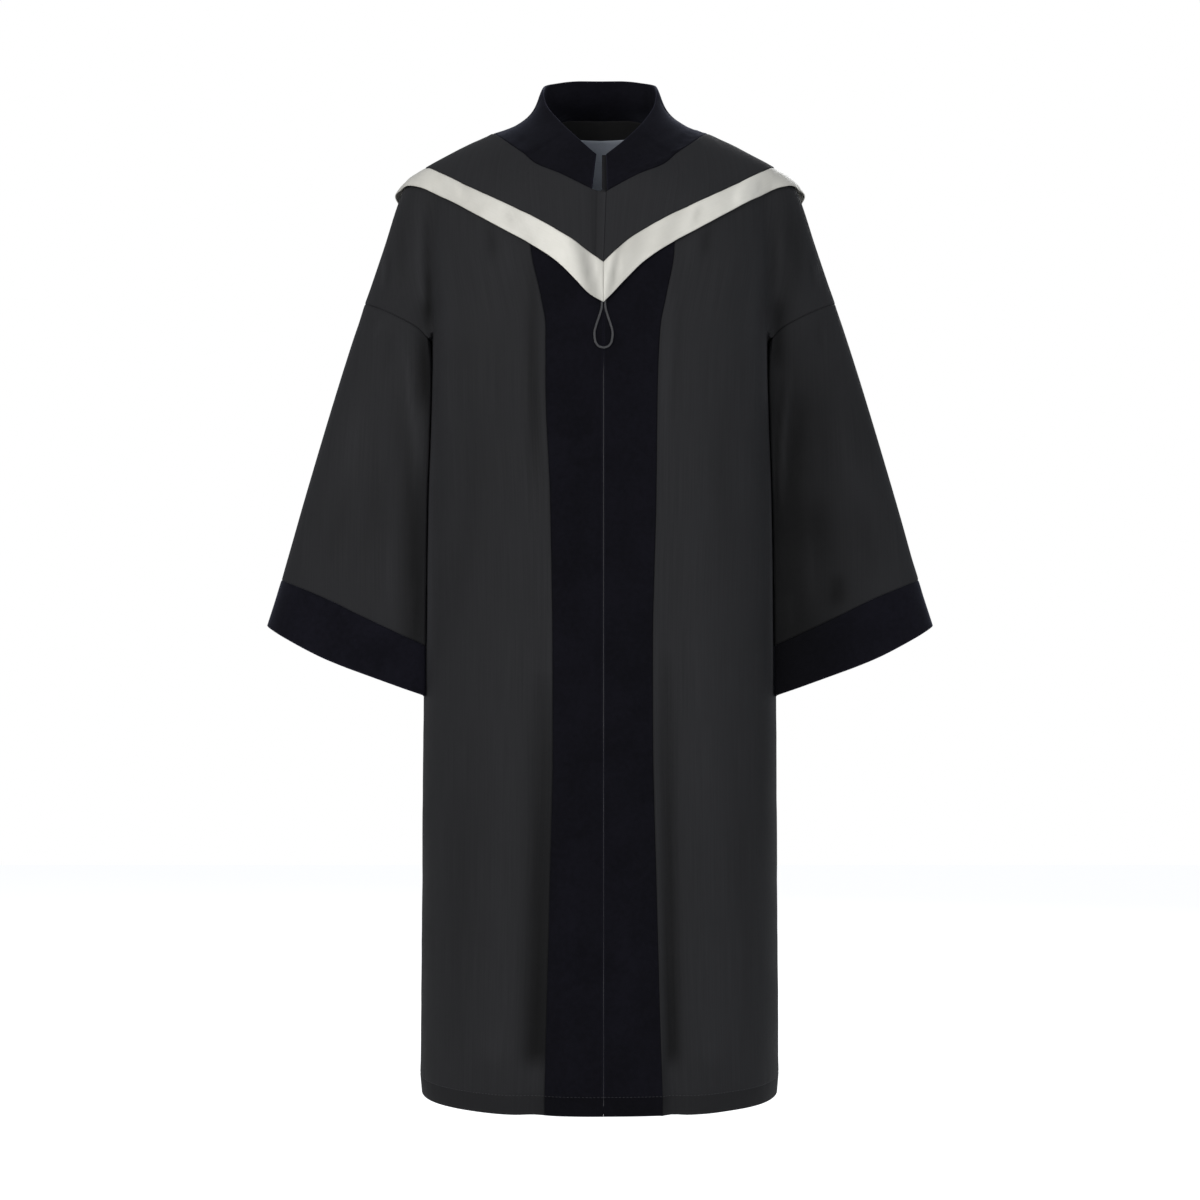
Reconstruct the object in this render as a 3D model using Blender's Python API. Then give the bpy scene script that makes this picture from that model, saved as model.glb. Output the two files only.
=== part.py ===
"""A long zip-front graduation gown with a stand collar and a shoulder cape edged with satin.

The gown hangs filled out and hollow, as on a wearer. Every piece is a cloth wall: a sheet of points on the
gown's form, given a thickness towards the inside. The form is a torso tube that flares to the hem, joined
at the shoulders to two upper arms; the sleeves go on from there as flared tubes.

Metres. Origin between the shoulders at the base of the neck, front towards -Y, wearer's left towards +X.
"""
import math

import bpy
import numpy as np

# ------------------------------------------------------------------ sizes
GOWN_CLOTH = 0.0015        # wall of the charcoal suiting
VELVET = 0.0017            # wall of the velvet fronts and cuffs
COLLAR_WALL = 0.0026       # two layers of velvet and an interlining
SATIN = 0.0014
TAPE = 0.0010              # zip tape, facing and label
SEAM_GAP = 0.0003          # between pieces that meet at a seam
EDGE_PULL = 0.00022        # how far each piece stops short of its seam line

HEM_LEVEL = -1.142
UNDERARM_LEVEL = -0.255
FRONT_EDGE_X = 0.004       # the two fronts meet just off the middle
NECK_BACK_LEVEL = 0.034    # where the collar is sewn on at the centre back
CAPE_LIFT = 0.0034         # outer face of the cape above the gown's
TIP_LIFT = 0.0017          # the cape's point stands off this much further, over the cord
TIP_REACH = 0.040
BACK_LIFT = 0.0016         # and the cape's back hangs off by this much more

# The torso tube, one row for each level.
TORSO_COLUMNS = ("level", "half_width", "front", "back", "squareness")
TORSO = (
    (-1.142, 0.2130, 0.180, 0.168, 2.35),
    (-0.950, 0.2116, 0.173, 0.156, 2.60),
    (-0.700, 0.2098, 0.163, 0.142, 2.90),
    (-0.450, 0.2057, 0.154, 0.129, 3.20),
    (-0.255, 0.1995, 0.145, 0.122, 3.40),
    (-0.180, 0.2000, 0.135, 0.121, 3.30),
    (-0.080, 0.2010, 0.110, 0.116, 3.10),
    (0.000, 0.2010, 0.092, 0.106, 2.80),
    (0.060, 0.2010, 0.080, 0.094, 2.60),
)
# The outline seen from the front, from beside the neck along the shoulder to the sleeve seam.
SHOULDER_COLUMNS = ("across", "level")
SHOULDER = (
    (0.0720, 0.0600),
    (0.0860, 0.0240),
    (0.1040, 0.0070),
    (0.1280, -0.0035),
    (0.1710, -0.0223),
    (0.2128, -0.0462),
    (0.2338, -0.0637),
    (0.2436, -0.0852),
    (0.2580, -0.1332),
    (0.2820, -0.2052),
)
NECK_POINT = 0.1280        # where the collar seam crosses the shoulder
CAPE_POINT = 0.2080        # where the satin band's upper edge crosses it
BAND_POINT = 0.2368        # where its lower edge does
SHOULDER_ROUND = 0.100     # how far below the shoulder line the torso takes to fill out
ARM_ROUND = 0.045          # the same for the upper arm
ARMPIT_ROUND = 0.030
# The upper arm, one row for each level: where it leaves the torso, and its depth.
ARM_COLUMNS = ("level", "inner_edge", "front", "back", "blend")
ARM = (
    (-0.255, 0.1995, 0.050, 0.100, 0.000),
    (-0.235, 0.1910, 0.050, 0.100, 0.006),
    (-0.180, 0.1680, 0.049, 0.098, 0.012),
    (-0.100, 0.1200, 0.048, 0.090, 0.020),
    (0.000, 0.0600, 0.046, 0.080, 0.030),
)
# The sleeve seam seen from the front, from the armpit up to the shoulder outline.
ARMHOLE_COLUMNS = ("across", "level")
ARMHOLE = (
    (0.1995, -0.2550),
    (0.2128, -0.2405),
    (0.2277, -0.2312),
    (0.2539, -0.2179),
    (0.2820, -0.2052),
)
# The sleeve, one row for each ring from the sleeve seam to the end of the cuff. The dip is how far the
# front of the ring hangs below its ends.
SLEEVE_COLUMNS = ("along", "outer_x", "outer_z", "inner_z", "front", "back", "dip")
SLEEVE = (
    (0.000, 0.2820, -0.2052, -0.2550, 0.050, 0.100, 0.000),
    (0.250, 0.3130, -0.3020, -0.3600, 0.052, 0.098, 0.000),
    (0.600, 0.3535, -0.4370, -0.5050, 0.054, 0.090, -0.001),
    (0.857, 0.3816, -0.5352, -0.6135, 0.056, 0.084, -0.003),
    (1.000, 0.3990, -0.5900, -0.6725, 0.058, 0.082, 0.004),
)
CUFF_SEAM = 0.857
SLEEVE_CLEARANCE = 0.0024  # between the hanging sleeve and the gown's side
ARMPIT_GAP = 0.0008        # the same right at the armpit
SLEEVE_SQUARENESS = 2.3
SEAM_SHAPE_REACH = 0.40    # how far down the sleeve the shape of its seam carries

# The seam between the velvet and the charcoal fronts: its distance out on the wearer's right and left.
VELVET_COLUMNS = ("level", "right", "left")
VELVET_SEAM = (
    (-1.142, 0.0640, 0.0724),
    (-1.006, 0.0606, 0.0679),
    (-0.876, 0.0572, 0.0642),
    (-0.712, 0.0539, 0.0603),
    (-0.616, 0.0540, 0.0602),
    (-0.445, 0.0569, 0.0642),
    (-0.312, 0.0622, 0.0660),
    (-0.247, 0.0623, 0.0692),
    (-0.213, 0.0675, 0.0755),
    (-0.155, 0.0796, 0.0857),
    (-0.0402, 0.0880, 0.0880),
)
SEAM_TOP = 2               # the row of the next table where the velvet seam meets the neck seam
# The collar seam seen from the front and from behind, from the middle out to the neck point.
NECK_COLUMNS = ("across", "level")
NECK_FRONT = (
    (0.0440, -0.0672),
    (0.0740, -0.0535),
    (0.0880, -0.0402),
    (0.1053, -0.0263),
    (0.1280, -0.0035),
)
NECK_BACK = (
    (0.0000, NECK_BACK_LEVEL),
    (0.0300, 0.0325),
    (0.0600, 0.0235),
    (0.1000, 0.0030),
    (0.1280, -0.0035),
)
NECK_FRONT_LEVEL = -0.0875 # where the neck seam ends at the front edge
# The collar's front corners, where the neck slit opens, on the wearer's right and left.
COLLAR_CORNER = {-1: (0.0108, -0.0826), 1: (0.0080, -0.0868)}
# The satin band's two edges seen from the front, as far as the shoulder.
BAND_COLUMNS = ("across", "upper", "lower")
BAND_FRONT = (
    (0.0000, -0.1722, -0.2195),
    (0.0115, -0.1612, -0.2110),
    (0.0300, -0.1465, -0.1910),
    (0.0480, -0.1350, -0.1730),
    (0.0660, -0.1243, -0.1595),
    (0.0850, -0.1136, -0.1475),
    (0.1130, -0.0995, -0.1314),
    (0.1500, -0.0795, -0.1090),
    (0.1800, -0.0602, -0.0893),
    (0.2000, -0.0485, -0.0773),
    (0.2150, -0.0430, -0.0714),
    (0.2300, -0.0420, -0.0684),
)
# The same behind: from the middle of the back out to the shoulder.
BAND_BACK_COLUMNS = ("across", "level")
BAND_BACK_UPPER = (
    (0.0000, -0.2180),
    (0.0700, -0.2040),
    (0.1300, -0.1720),
    (0.1800, -0.1260),
    (0.2050, -0.0800),
)
BAND_BACK_LOWER = (
    (0.0000, -0.2480),
    (0.0750, -0.2330),
    (0.1450, -0.1960),
    (0.2050, -0.1460),
    (0.2360, -0.1020),
)

# The collar's free edge on one side: up the slit, up the V to the shoulder, then round the rim to the back.
COLLAR_COLUMNS = ("x", "y", "z")
COLLAR_EDGE = (
    (0.0066, -0.0905, -0.0398),
    (0.0278, -0.0745, -0.0160),
    (0.0480, -0.0520, 0.0070),
    (0.0652, -0.0240, 0.0335),
    (0.0690, -0.0020, 0.0525),
    (0.0680, 0.0220, 0.0620),
    (0.0490, 0.0560, 0.0730),
    (0.0000, 0.0740, 0.0788),
)
# How far the collar hollows between its seam and its free edge, at each of those places. It is deepest
# nearer the seam, where the stand turns out on to the shoulder.
COLLAR_HOLLOW = (0.000, 0.001, 0.006, 0.014, 0.0205, 0.019, 0.012, 0.008)
HOLLOW_LEAN = 1.5

FACING_ROWS = 6            # rows of the back's sheet that the facing covers, counted down from the neck
FACING_COLUMNS = 3         # and its columns, counted out from the middle
FACING_DROP = 0.0010       # its top stops this far short of the neck seam
LABEL_HALF_WIDTH = 0.034
LABEL_TOP = 0.0108
LABEL_FOOT = -0.0552

ZIP_TAPE_WIDTH = 0.0075
ZIP_TAPE_RISE = 0.0190     # the wearer's left tape shows this far up the neck slit
ZIP_FOOT = 0.0120          # the tapes stop this far above the hem
ZIP_SHOWS = 0.0005         # each velvet front stops this far short of the zip's middle
COLLAR_LEAN = 0.56         # how far the collar's front leans back for each unit up
SLIDER_SIZE = (0.0070, 0.0028, 0.0090)
SLIDER_GAP = 0.0011        # between the slider and the tapes
SLIDER_SHOWS = 0.0008      # its top stands this far above the fronts
SLIDER_TILT = -0.42        # it leans back with the chest

LOOP_DIAMETER = 0.0026
LOOP_RISE = 0.0005         # the cord's underside above the velvet it lies on
# The hanging loop seen from the front: one side of the teardrop, down from under the band's point.
LOOP_COLUMNS = ("across", "drop")
LOOP_SIDE = (
    (0.0016, -0.0070),
    (0.0018, 0.0040),
    (0.0040, 0.0150),
    (0.0074, 0.0260),
    (0.0094, 0.0360),
    (0.0084, 0.0450),
    (0.0048, 0.0508),
    (0.0000, 0.0526),
)

# Soft vertical folds: the place across at their top and foot, their levels, half width and height.
# A height below zero is a trough.
FOLD_COLUMNS = ("top_x", "foot_x", "top", "foot", "half_width", "height")
FRONT_FOLDS = (
    (-0.0600, -0.0920, -0.620, -1.160, 0.0140, -0.0045),
    (-0.1250, -0.1300, -0.550, -1.160, 0.0200, 0.0026),
    (0.0665, 0.0745, -0.640, -1.160, 0.0050, 0.0014),
    (0.0790, 0.0850, -0.640, -1.160, 0.0090, -0.0040),
    (0.1300, 0.1350, -0.600, -1.160, 0.0220, 0.0026),
)
BACK_FOLDS = (
    (0.0000, 0.0020, -0.300, -1.160, 0.024, 0.0070),
    (-0.0540, -0.0640, -0.340, -1.160, 0.023, -0.0060),
    (0.0560, 0.0670, -0.320, -1.160, 0.022, -0.0065),
    (-0.1100, -0.1240, -0.380, -1.160, 0.024, 0.0060),
    (0.1120, 0.1270, -0.420, -1.160, 0.025, 0.0055),
)

# How finely each sheet is divided.
HEM_ROWS = 10
YOKE_ROWS = 9
FRONT_COLUMNS_COUNT = 11
VELVET_COLUMNS_COUNT = 3
BACK_COLUMNS_COUNT = 13
SLEEVE_HALF_COLUMNS = 9
SLEEVE_ROWS = 7
CUFF_ROWS = 2
CAPE_COLUMNS_COUNT = 11
CAPE_ROWS = 4
CAPE_BACK_ROWS = 7
BAND_ROWS = 2
COLLAR_ROWS = 4

# Colours in linear light, roughness, metallic.
COLOURS = {
    "charcoal_suiting": ((0.0250, 0.0250, 0.0270), 0.80, 0.0),
    "blue_black_velvet": ((0.0055, 0.0055, 0.0080), 0.90, 0.0),
    "ivory_satin": ((0.6000, 0.5800, 0.5300), 0.38, 0.0),
    "neck_facing_cloth": ((0.0080, 0.0080, 0.0080), 0.85, 0.0),
    "label_cloth": ((0.1000, 0.1100, 0.1250), 0.60, 0.0),
    "zip_tape": ((0.0400, 0.0400, 0.0430), 0.70, 0.0),
    "cord": ((0.0700, 0.0700, 0.0740), 0.70, 0.0),
    "dark_metal": ((0.0300, 0.0300, 0.0320), 0.35, 1.0),
}


# ------------------------------------------------------------------ curves and tables
def read(columns, rows, name):
    """One named column of a table."""
    return np.array([row[columns.index(name)] for row in rows], float)


def smooth(places, values, at):
    """A curve through the values that never swings past them: a monotone cubic."""
    order = np.argsort(places)
    x, y = np.asarray(places, float)[order], np.asarray(values, float)[order]
    step, slope = np.diff(x), np.diff(y) / np.diff(x)
    before, after = slope[:-1], slope[1:]
    together = before * after > 0
    total = np.where(together, before + after, 1.0)
    middle = np.where(together, 2 * before * after / total, 0.0)
    tangent = np.concatenate([slope[:1], middle, slope[-1:]])
    at = np.clip(at, x[0], x[-1])
    i = np.clip(np.searchsorted(x, at, side="right") - 1, 0, len(step) - 1)
    t = (at - x[i]) / step[i]
    start = (1 + 2 * t) * (1 - t) ** 2 * y[i] + t * (1 - t) ** 2 * step[i] * tangent[i]
    return start + t * t * (3 - 2 * t) * y[i + 1] + t * t * (t - 1) * step[i] * tangent[i + 1]


def table_curve(columns, rows, key, name, at):
    """A named column as a smooth function of the table's key column."""
    return smooth(read(columns, rows, key), read(columns, rows, name), at)


def along(points, fractions):
    """Points at the given fractions of the length of a smooth line through a few points."""
    points = np.asarray(points, float)
    chord = np.concatenate([[0.0], np.cumsum(np.linalg.norm(np.diff(points, axis=0), axis=1))])
    fine = np.linspace(0, chord[-1], 400)
    line = np.stack([smooth(chord, axis, fine) for axis in points.T], axis=1)
    length = np.concatenate([[0.0], np.cumsum(np.linalg.norm(np.diff(line, axis=0), axis=1))])
    wanted = np.asarray(fractions) * length[-1]
    return np.stack([np.interp(wanted, length, axis) for axis in line.T], axis=1)


def fill_out(distance, reach):
    """A quarter round: 0 at an outline, 1 from a reach inside it."""
    t = 1 - np.clip(distance / reach, 0, 1)
    return np.sqrt(np.clip(1 - t * t, 0, 1))


def patch(bottom, top, left, right):
    """The points of a four-sided patch between its edges (Coons). Bottom and top run from left to right."""
    u = np.linspace(0, 1, len(bottom))[None, :, None]
    v = np.linspace(0, 1, len(left))[:, None, None]
    ruled = (1 - v) * bottom + v * top + (1 - u) * left[:, None] + u * right[:, None]
    low = (1 - u) * bottom[0] + u * bottom[-1]
    high = (1 - u) * top[0] + u * top[-1]
    return ruled - (1 - v) * low - v * high


# ------------------------------------------------------------------ the gown's form
OUTLINE = along(SHOULDER, np.linspace(0, 1, 160))
ON_OUTLINE = 0.00005       # nearer than this counts as on the outline


def inside_outline(x, z):
    """Distance from the shoulder outline, seen from the front."""
    spot = np.stack([np.abs(x), z], axis=-1)[..., None, :]
    start, run = OUTLINE[:-1], np.diff(OUTLINE, axis=0)
    share = np.clip(((spot - start) * run).sum(-1) / (run * run).sum(-1), 0, 1)
    apart = np.linalg.norm(spot - start - share[..., None] * run, axis=-1).min(axis=-1)
    return np.maximum(apart - ON_OUTLINE, 0)


def fold_height(x, z, folds):
    """How far the soft folds stand out (or in) at a place."""
    height = np.zeros_like(x)
    for top_x, foot_x, top, foot, half_width, rise in folds:
        down = np.clip((top - z) / (top - foot), 0, 1)
        centre = top_x + (foot_x - top_x) * down
        height = height + rise * np.sqrt(down) * np.exp(-(((x - centre) / half_width) ** 2))
    return height


def depth(x, z, face):
    """How far the gown's outer face lies in front of, or behind, the plane through the shoulders."""
    x, z = np.broadcast_arrays(np.asarray(x, float), np.asarray(z, float))
    half = table_curve(TORSO_COLUMNS, TORSO, "level", "half_width", z)
    deep = table_curve(TORSO_COLUMNS, TORSO, "level", face, z)
    square = table_curve(TORSO_COLUMNS, TORSO, "level", "squareness", z)
    out = np.clip(np.abs(x) / half, 0, 1)
    torso = deep * (1 - out**square) ** (1 / square)
    upper = z > UNDERARM_LEVEL
    edge = np.where(upper, inside_outline(x, z), 1.0)
    torso = torso * fill_out(edge, SHOULDER_ROUND)
    inner = table_curve(ARM_COLUMNS, ARM, "level", "inner_edge", z)
    arm = table_curve(ARM_COLUMNS, ARM, "level", face, z)
    arm = arm * fill_out(edge, ARM_ROUND) * fill_out(np.abs(x) - inner, ARMPIT_ROUND)
    blend = table_curve(ARM_COLUMNS, ARM, "level", "blend", z) * fill_out(edge, ARM_ROUND)
    joined = (torso + arm + np.sqrt((torso - arm) ** 2 + blend**2)) / 2
    side_fade = fill_out(half - np.abs(x), ARMPIT_ROUND)
    folds = FRONT_FOLDS if face == "front" else BACK_FOLDS
    return np.where(upper, joined, torso) + side_fade * fold_height(x, z, folds)


def on_form(flat, face):
    """Lifts points of the front view, (across, level), on to the front or back of the form."""
    y = depth(flat[..., 0], flat[..., 1], face) * (-1 if face == "front" else 1)
    return np.stack([flat[..., 0], y, flat[..., 1]], axis=-1)


def torso_row(level, start_x, count, face):
    """Points round the torso tube from a place near its middle to its side, closest at the corner."""
    half = float(table_curve(TORSO_COLUMNS, TORSO, "level", "half_width", level))
    square = float(table_curve(TORSO_COLUMNS, TORSO, "level", "squareness", level))
    deep = float(table_curve(TORSO_COLUMNS, TORSO, "level", face, level))
    first = math.asin((start_x / half) ** (square / 2))
    angle = np.linspace(first, math.pi / 2, 300)
    x, y = half * np.sin(angle) ** (2 / square), deep * np.cos(angle) ** (2 / square)
    length = np.concatenate([[0.0], np.cumsum(np.hypot(np.diff(x), np.diff(y)))])
    even = length / length[-1] + (angle - first) / (angle[-1] - first)
    x = np.interp(np.linspace(0, even[-1], count + 1), even, x)
    return np.stack([x, np.full_like(x, level)], axis=1)


def outline_level(across):
    return np.interp(across, OUTLINE[:, 0], OUTLINE[:, 1])


def shoulder_piece(start, end, count):
    """Points along the shoulder outline between two places across, spread evenly."""
    part = OUTLINE[(OUTLINE[:, 0] > start) & (OUTLINE[:, 0] < end)]
    ends = [[at, outline_level(at)] for at in (start, end)]
    return along(np.vstack([ends[:1], part, ends[1:]]), np.linspace(0, 1, count + 1))


def closing(count):
    """Shares from 0 to 1 that come closer together towards 1, where the form turns over the shoulder."""
    return np.sin(np.linspace(0, math.pi / 2, count + 1))


ROUND_STEPS = closing(YOKE_ROWS)
ARMHOLE_LINE = along(ARMHOLE, ROUND_STEPS)


# ------------------------------------------------------------------ sheets of points
def mirrored(grid, side):
    """A half sheet on the wearer's left (side 1) or right (side -1)."""
    return grid * (side, 1, 1)


def front_edge(side):
    """Where the fronts meet, counted outwards on this side."""
    return FRONT_EDGE_X * side


def seam_place(level, side):
    name = "left" if side > 0 else "right"
    return table_curve(VELVET_COLUMNS, VELVET_SEAM, "level", name, level)


LEVELS = HEM_LEVEL + (UNDERARM_LEVEL - HEM_LEVEL) * np.linspace(0, 1, HEM_ROWS + 1)


def neck_front_line(side, count):
    """The front neck seam from the front edge to the neck point, its first step up to the collar's corner."""
    start = [[front_edge(side), NECK_FRONT_LEVEL]]
    return np.vstack([start, along([COLLAR_CORNER[side], *NECK_FRONT], closing(count - 1))])


def velvet_front(side):
    """The velvet front: from the zip to the seam, hem to neck."""
    columns = VELVET_COLUMNS_COUNT
    share = np.linspace(0, 1, columns + 1)
    start = front_edge(side) + ZIP_SHOWS
    low = []
    for level in LEVELS:
        x = start + (seam_place(level, side) - start) * share
        low.append(np.stack([x, np.full_like(x, level)], axis=1))
    neck = along([(start, NECK_FRONT_LEVEL), COLLAR_CORNER[side], *NECK_FRONT[:SEAM_TOP + 1]], share)
    zip_levels = UNDERARM_LEVEL + (NECK_FRONT_LEVEL - UNDERARM_LEVEL) * ROUND_STEPS
    zip_line = np.stack([np.full_like(zip_levels, start), zip_levels], axis=1)
    top = patch(low[-1], neck, zip_line, velvet_seam_line(side))
    return on_form(np.vstack([np.stack(low[:-1]), top]) * (side, 1), "front")


def velvet_seam_line(side):
    """The upper stretch of the velvet seam, armpit level to neck."""
    top = NECK_FRONT[SEAM_TOP]
    level = UNDERARM_LEVEL + (top[1] - UNDERARM_LEVEL) * ROUND_STEPS
    line = np.stack([seam_place(level, side), level], axis=1)
    line[-1] = top
    return line


def charcoal_front(side):
    """The charcoal front: from the velvet seam to the side seam and the sleeve seam, hem to shoulder."""
    low = [torso_row(level, float(seam_place(level, side)), FRONT_COLUMNS_COUNT, "front") for level in LEVELS]
    seam = velvet_seam_line(side)
    neck = along(NECK_FRONT[SEAM_TOP:], np.linspace(0, 1, 4))
    shoulder = shoulder_piece(NECK_POINT, SHOULDER[-1][0], FRONT_COLUMNS_COUNT - 3)
    top = patch(low[-1], np.vstack([neck[:-1], shoulder]), seam, ARMHOLE_LINE)
    return on_form(np.vstack([np.stack(low[:-1]), top]) * (side, 1), "front")


def half_back():
    """Half of the back: from the middle to the side seam and the sleeve seam."""
    low = [torso_row(level, 0.0, BACK_COLUMNS_COUNT, "back") for level in LEVELS]
    shoulder = shoulder_piece(NECK_POINT, SHOULDER[-1][0], FRONT_COLUMNS_COUNT - 3)
    neck = along(NECK_BACK, np.linspace(0, 1, BACK_COLUMNS_COUNT - FRONT_COLUMNS_COUNT + 4))
    level = UNDERARM_LEVEL + (NECK_BACK_LEVEL - UNDERARM_LEVEL) * ROUND_STEPS
    middle = np.stack([np.zeros_like(level), level], axis=1)
    top = patch(low[-1], np.vstack([neck[:-1], shoulder]), middle, ARMHOLE_LINE)
    return np.vstack([np.stack(low[:-1]), top])


def both_halves(half, face):
    """One sheet from two mirrored halves of front-view points that share their middle column."""
    other = half * (-1, 1)
    return on_form(np.concatenate([other[:, :0:-1], half], axis=1), face)


def sleeve_rings(share):
    """Rings of the sleeve at the given shares of its length, each from the armpit round the front."""
    share = np.asarray(share)
    get = {name: table_curve(SLEEVE_COLUMNS, SLEEVE, "along", name, share) for name in SLEEVE_COLUMNS}
    body = table_curve(TORSO_COLUMNS, TORSO, "level", "half_width", get["inner_z"])
    inner_x = body + SLEEVE_CLEARANCE * np.clip(share / 0.12, 0, 1)
    angle = np.linspace(0, 2 * math.pi, 2 * SLEEVE_HALF_COLUMNS + 1)[:-1]
    power = 2 / SLEEVE_SQUARENESS
    across = np.sign(np.cos(angle)) * np.abs(np.cos(angle)) ** power
    deep = np.sign(np.sin(angle)) * np.abs(np.sin(angle)) ** power
    outer = np.stack([get["outer_x"], get["outer_z"]], axis=-1)
    inner = np.stack([inner_x, get["inner_z"]], axis=-1)
    flat = (outer + inner)[:, None] / 2 + (inner - outer)[:, None] / 2 * across[None, :, None]
    y = np.where(deep > 0, -get["front"][:, None] * deep, -get["back"][:, None] * deep)
    z = flat[..., 1] - get["dip"][:, None] * np.clip(deep, 0, 1)
    return np.stack([flat[..., 0], y, z], axis=-1)


def armhole_ring():
    """The sleeve seam's own ring, on the form, in the same order as the sleeve's rings."""
    line = along(ARMHOLE, (1 - np.cos(np.linspace(0, math.pi, SLEEVE_HALF_COLUMNS + 1))) / 2)
    front, back = on_form(line, "front"), on_form(line, "back")
    front[0, 0] += ARMPIT_GAP
    return np.vstack([front, back[-2:0:-1]])


def sleeve(shares):
    """The sleeve between two of its rings; near its seam it takes the seam's shape."""
    rings = sleeve_rings(shares)
    seam_change = armhole_ring() - sleeve_rings([0.0])[0]
    fade = np.clip(1 - np.asarray(shares) / SEAM_SHAPE_REACH, 0, 1) ** 2
    return rings + fade[:, None, None] * seam_change[None]


def cape_edges():
    """The cape's and the band's edges seen from the front, neck seam, upper and lower edge of the band."""
    steps = closing(CAPE_COLUMNS_COUNT)
    rows = np.array(BAND_FRONT)
    edges = []
    for column, end in ((1, CAPE_POINT), (2, BAND_POINT)):
        keep = rows[rows[:, 0] < end - 0.004][:, [0, column]]
        edges.append(np.vstack([keep, [[end, outline_level(end)]]]))
    return edges, steps


def cape_front(side):
    """The cape's charcoal front and its satin band, as front-view points."""
    (upper_points, lower_points), steps = cape_edges()
    neck = neck_front_line(side, CAPE_COLUMNS_COUNT)
    lines = []
    for points in (upper_points, lower_points):
        points = points.copy()
        points[0, 0] = front_edge(side)
        lines.append(along(points, steps))
    ends = (NECK_POINT, CAPE_POINT, BAND_POINT)
    sheets = []
    for bottom, top, start, end, rows in (
        (neck, lines[0], ends[0], ends[1], CAPE_ROWS),
        (lines[0], lines[1], ends[1], ends[2], BAND_ROWS),
    ):
        left = along([bottom[0], top[0]], np.linspace(0, 1, rows + 1))
        sheets.append(patch(bottom, top, left, shoulder_piece(start, end, rows)))
    return sheets


def cape_back():
    """The cape's back and its satin band, one half as front-view points from the middle outwards."""
    steps = closing(CAPE_COLUMNS_COUNT)
    neck = along(NECK_BACK, steps)
    lines = []
    for points, end in ((BAND_BACK_UPPER, CAPE_POINT), (BAND_BACK_LOWER, BAND_POINT)):
        lines.append(along([*points, (end, outline_level(end))], steps))
    sheets = []
    for bottom, top, start, end, rows in (
        (neck, lines[0], NECK_POINT, CAPE_POINT, CAPE_BACK_ROWS),
        (lines[0], lines[1], CAPE_POINT, BAND_POINT, BAND_ROWS),
    ):
        left = along([bottom[0], top[0]], np.linspace(0, 1, rows + 1))
        sheets.append(patch(bottom, top, left, shoulder_piece(start, end, rows)))
    return sheets


def collar(seam):
    """The collar above its seam line, which runs from the wearer's right front round the back to the left."""
    half = len(seam) // 2
    edge = along(COLLAR_EDGE, np.linspace(0, 1, half + 1))
    hollow = np.interp(np.linspace(0, 1, half + 1), np.linspace(0, 1, len(COLLAR_HOLLOW)), COLLAR_HOLLOW)
    edge = np.concatenate([edge * (-1, 1, 1), edge[-2::-1]])
    hollow = np.concatenate([hollow, hollow[-2::-1]])
    v = np.linspace(0, 1, COLLAR_ROWS + 1)[:, None, None]
    line = (1 - v) * seam + v * edge
    inward = -line * (1, 1, 0)
    inward = inward / np.maximum(np.linalg.norm(inward, axis=-1, keepdims=True), 1e-6)
    bow = v * (1 - v) ** HOLLOW_LEAN
    peak = (1 - 1 / (1 + HOLLOW_LEAN)) ** HOLLOW_LEAN / (1 + HOLLOW_LEAN)
    return line + inward * bow / peak * hollow[None, :, None]


# ------------------------------------------------------------------ from sheets to cloth walls
def face_normals(grid, closed):
    """The direction of each cell of a sheet."""
    wide = np.concatenate([grid, grid[:, :1]], axis=1) if closed else grid
    up = wide[1:, 1:] - wide[:-1, :-1]
    over = wide[1:, :-1] - wide[:-1, 1:]
    return np.cross(up, over)


def key(point):
    return tuple(int(v) for v in np.round(point * 1e5))


def shared_normals(sheets):
    """Outward directions at the points of sheets that meet, the same for points that they share."""
    total = {}
    for grid, closed, _ in sheets:
        faces = face_normals(grid, closed)
        core = grid.mean(axis=1, keepdims=True) if closed else grid * (0, 0, 1)
        middle = (grid - core)[:-1, :faces.shape[1]]
        if (faces * middle).sum() < 0:
            faces = -faces
        columns = grid.shape[1]
        for i in range(faces.shape[0]):
            for j in range(faces.shape[1]):
                for a, b in ((i, j), (i + 1, j), (i, (j + 1) % columns), (i + 1, (j + 1) % columns)):
                    spot = key(grid[a, b])
                    total[spot] = total.get(spot, np.zeros(3)) + faces[i, j]
    normals = []
    for grid, _, _ in sheets:
        found = np.array([[total[key(p)] for p in row] for row in grid])
        normals.append(found / np.linalg.norm(found, axis=-1, keepdims=True))
    return normals


def pulled_in(grid, closed, pull):
    """The sheet with its edges moved back from its seam lines."""
    moved = grid.copy()

    def shift(edge, inner):
        way = grid[inner] - grid[edge]
        return way / np.linalg.norm(way, axis=-1, keepdims=True) * pull

    moved[0] += shift(0, 1)
    moved[-1] += shift(-1, -2)
    if not closed:
        for edge, inner in ((0, 1), (-1, -2)):
            way = grid[:, inner] - grid[:, edge]
            moved[:, edge] += way / np.linalg.norm(way, axis=-1, keepdims=True) * pull
    return moved


def material(name):
    made = bpy.data.materials.get(name)
    if made is None:
        colour, roughness, metallic = COLOURS[name]
        made = bpy.data.materials.new(name)
        made.use_nodes = True
        shader = made.node_tree.nodes["Principled BSDF"]
        shader.inputs["Base Color"].default_value = (*colour, 1.0)
        shader.inputs["Roughness"].default_value = roughness
        shader.inputs["Metallic"].default_value = metallic
        made.diffuse_color = (*colour, 1.0)
    return made


def turned(face):
    """The face seen from its other side. It keeps its first corner, so it is split the same way."""
    return [face[0], *face[:0:-1]]


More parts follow.
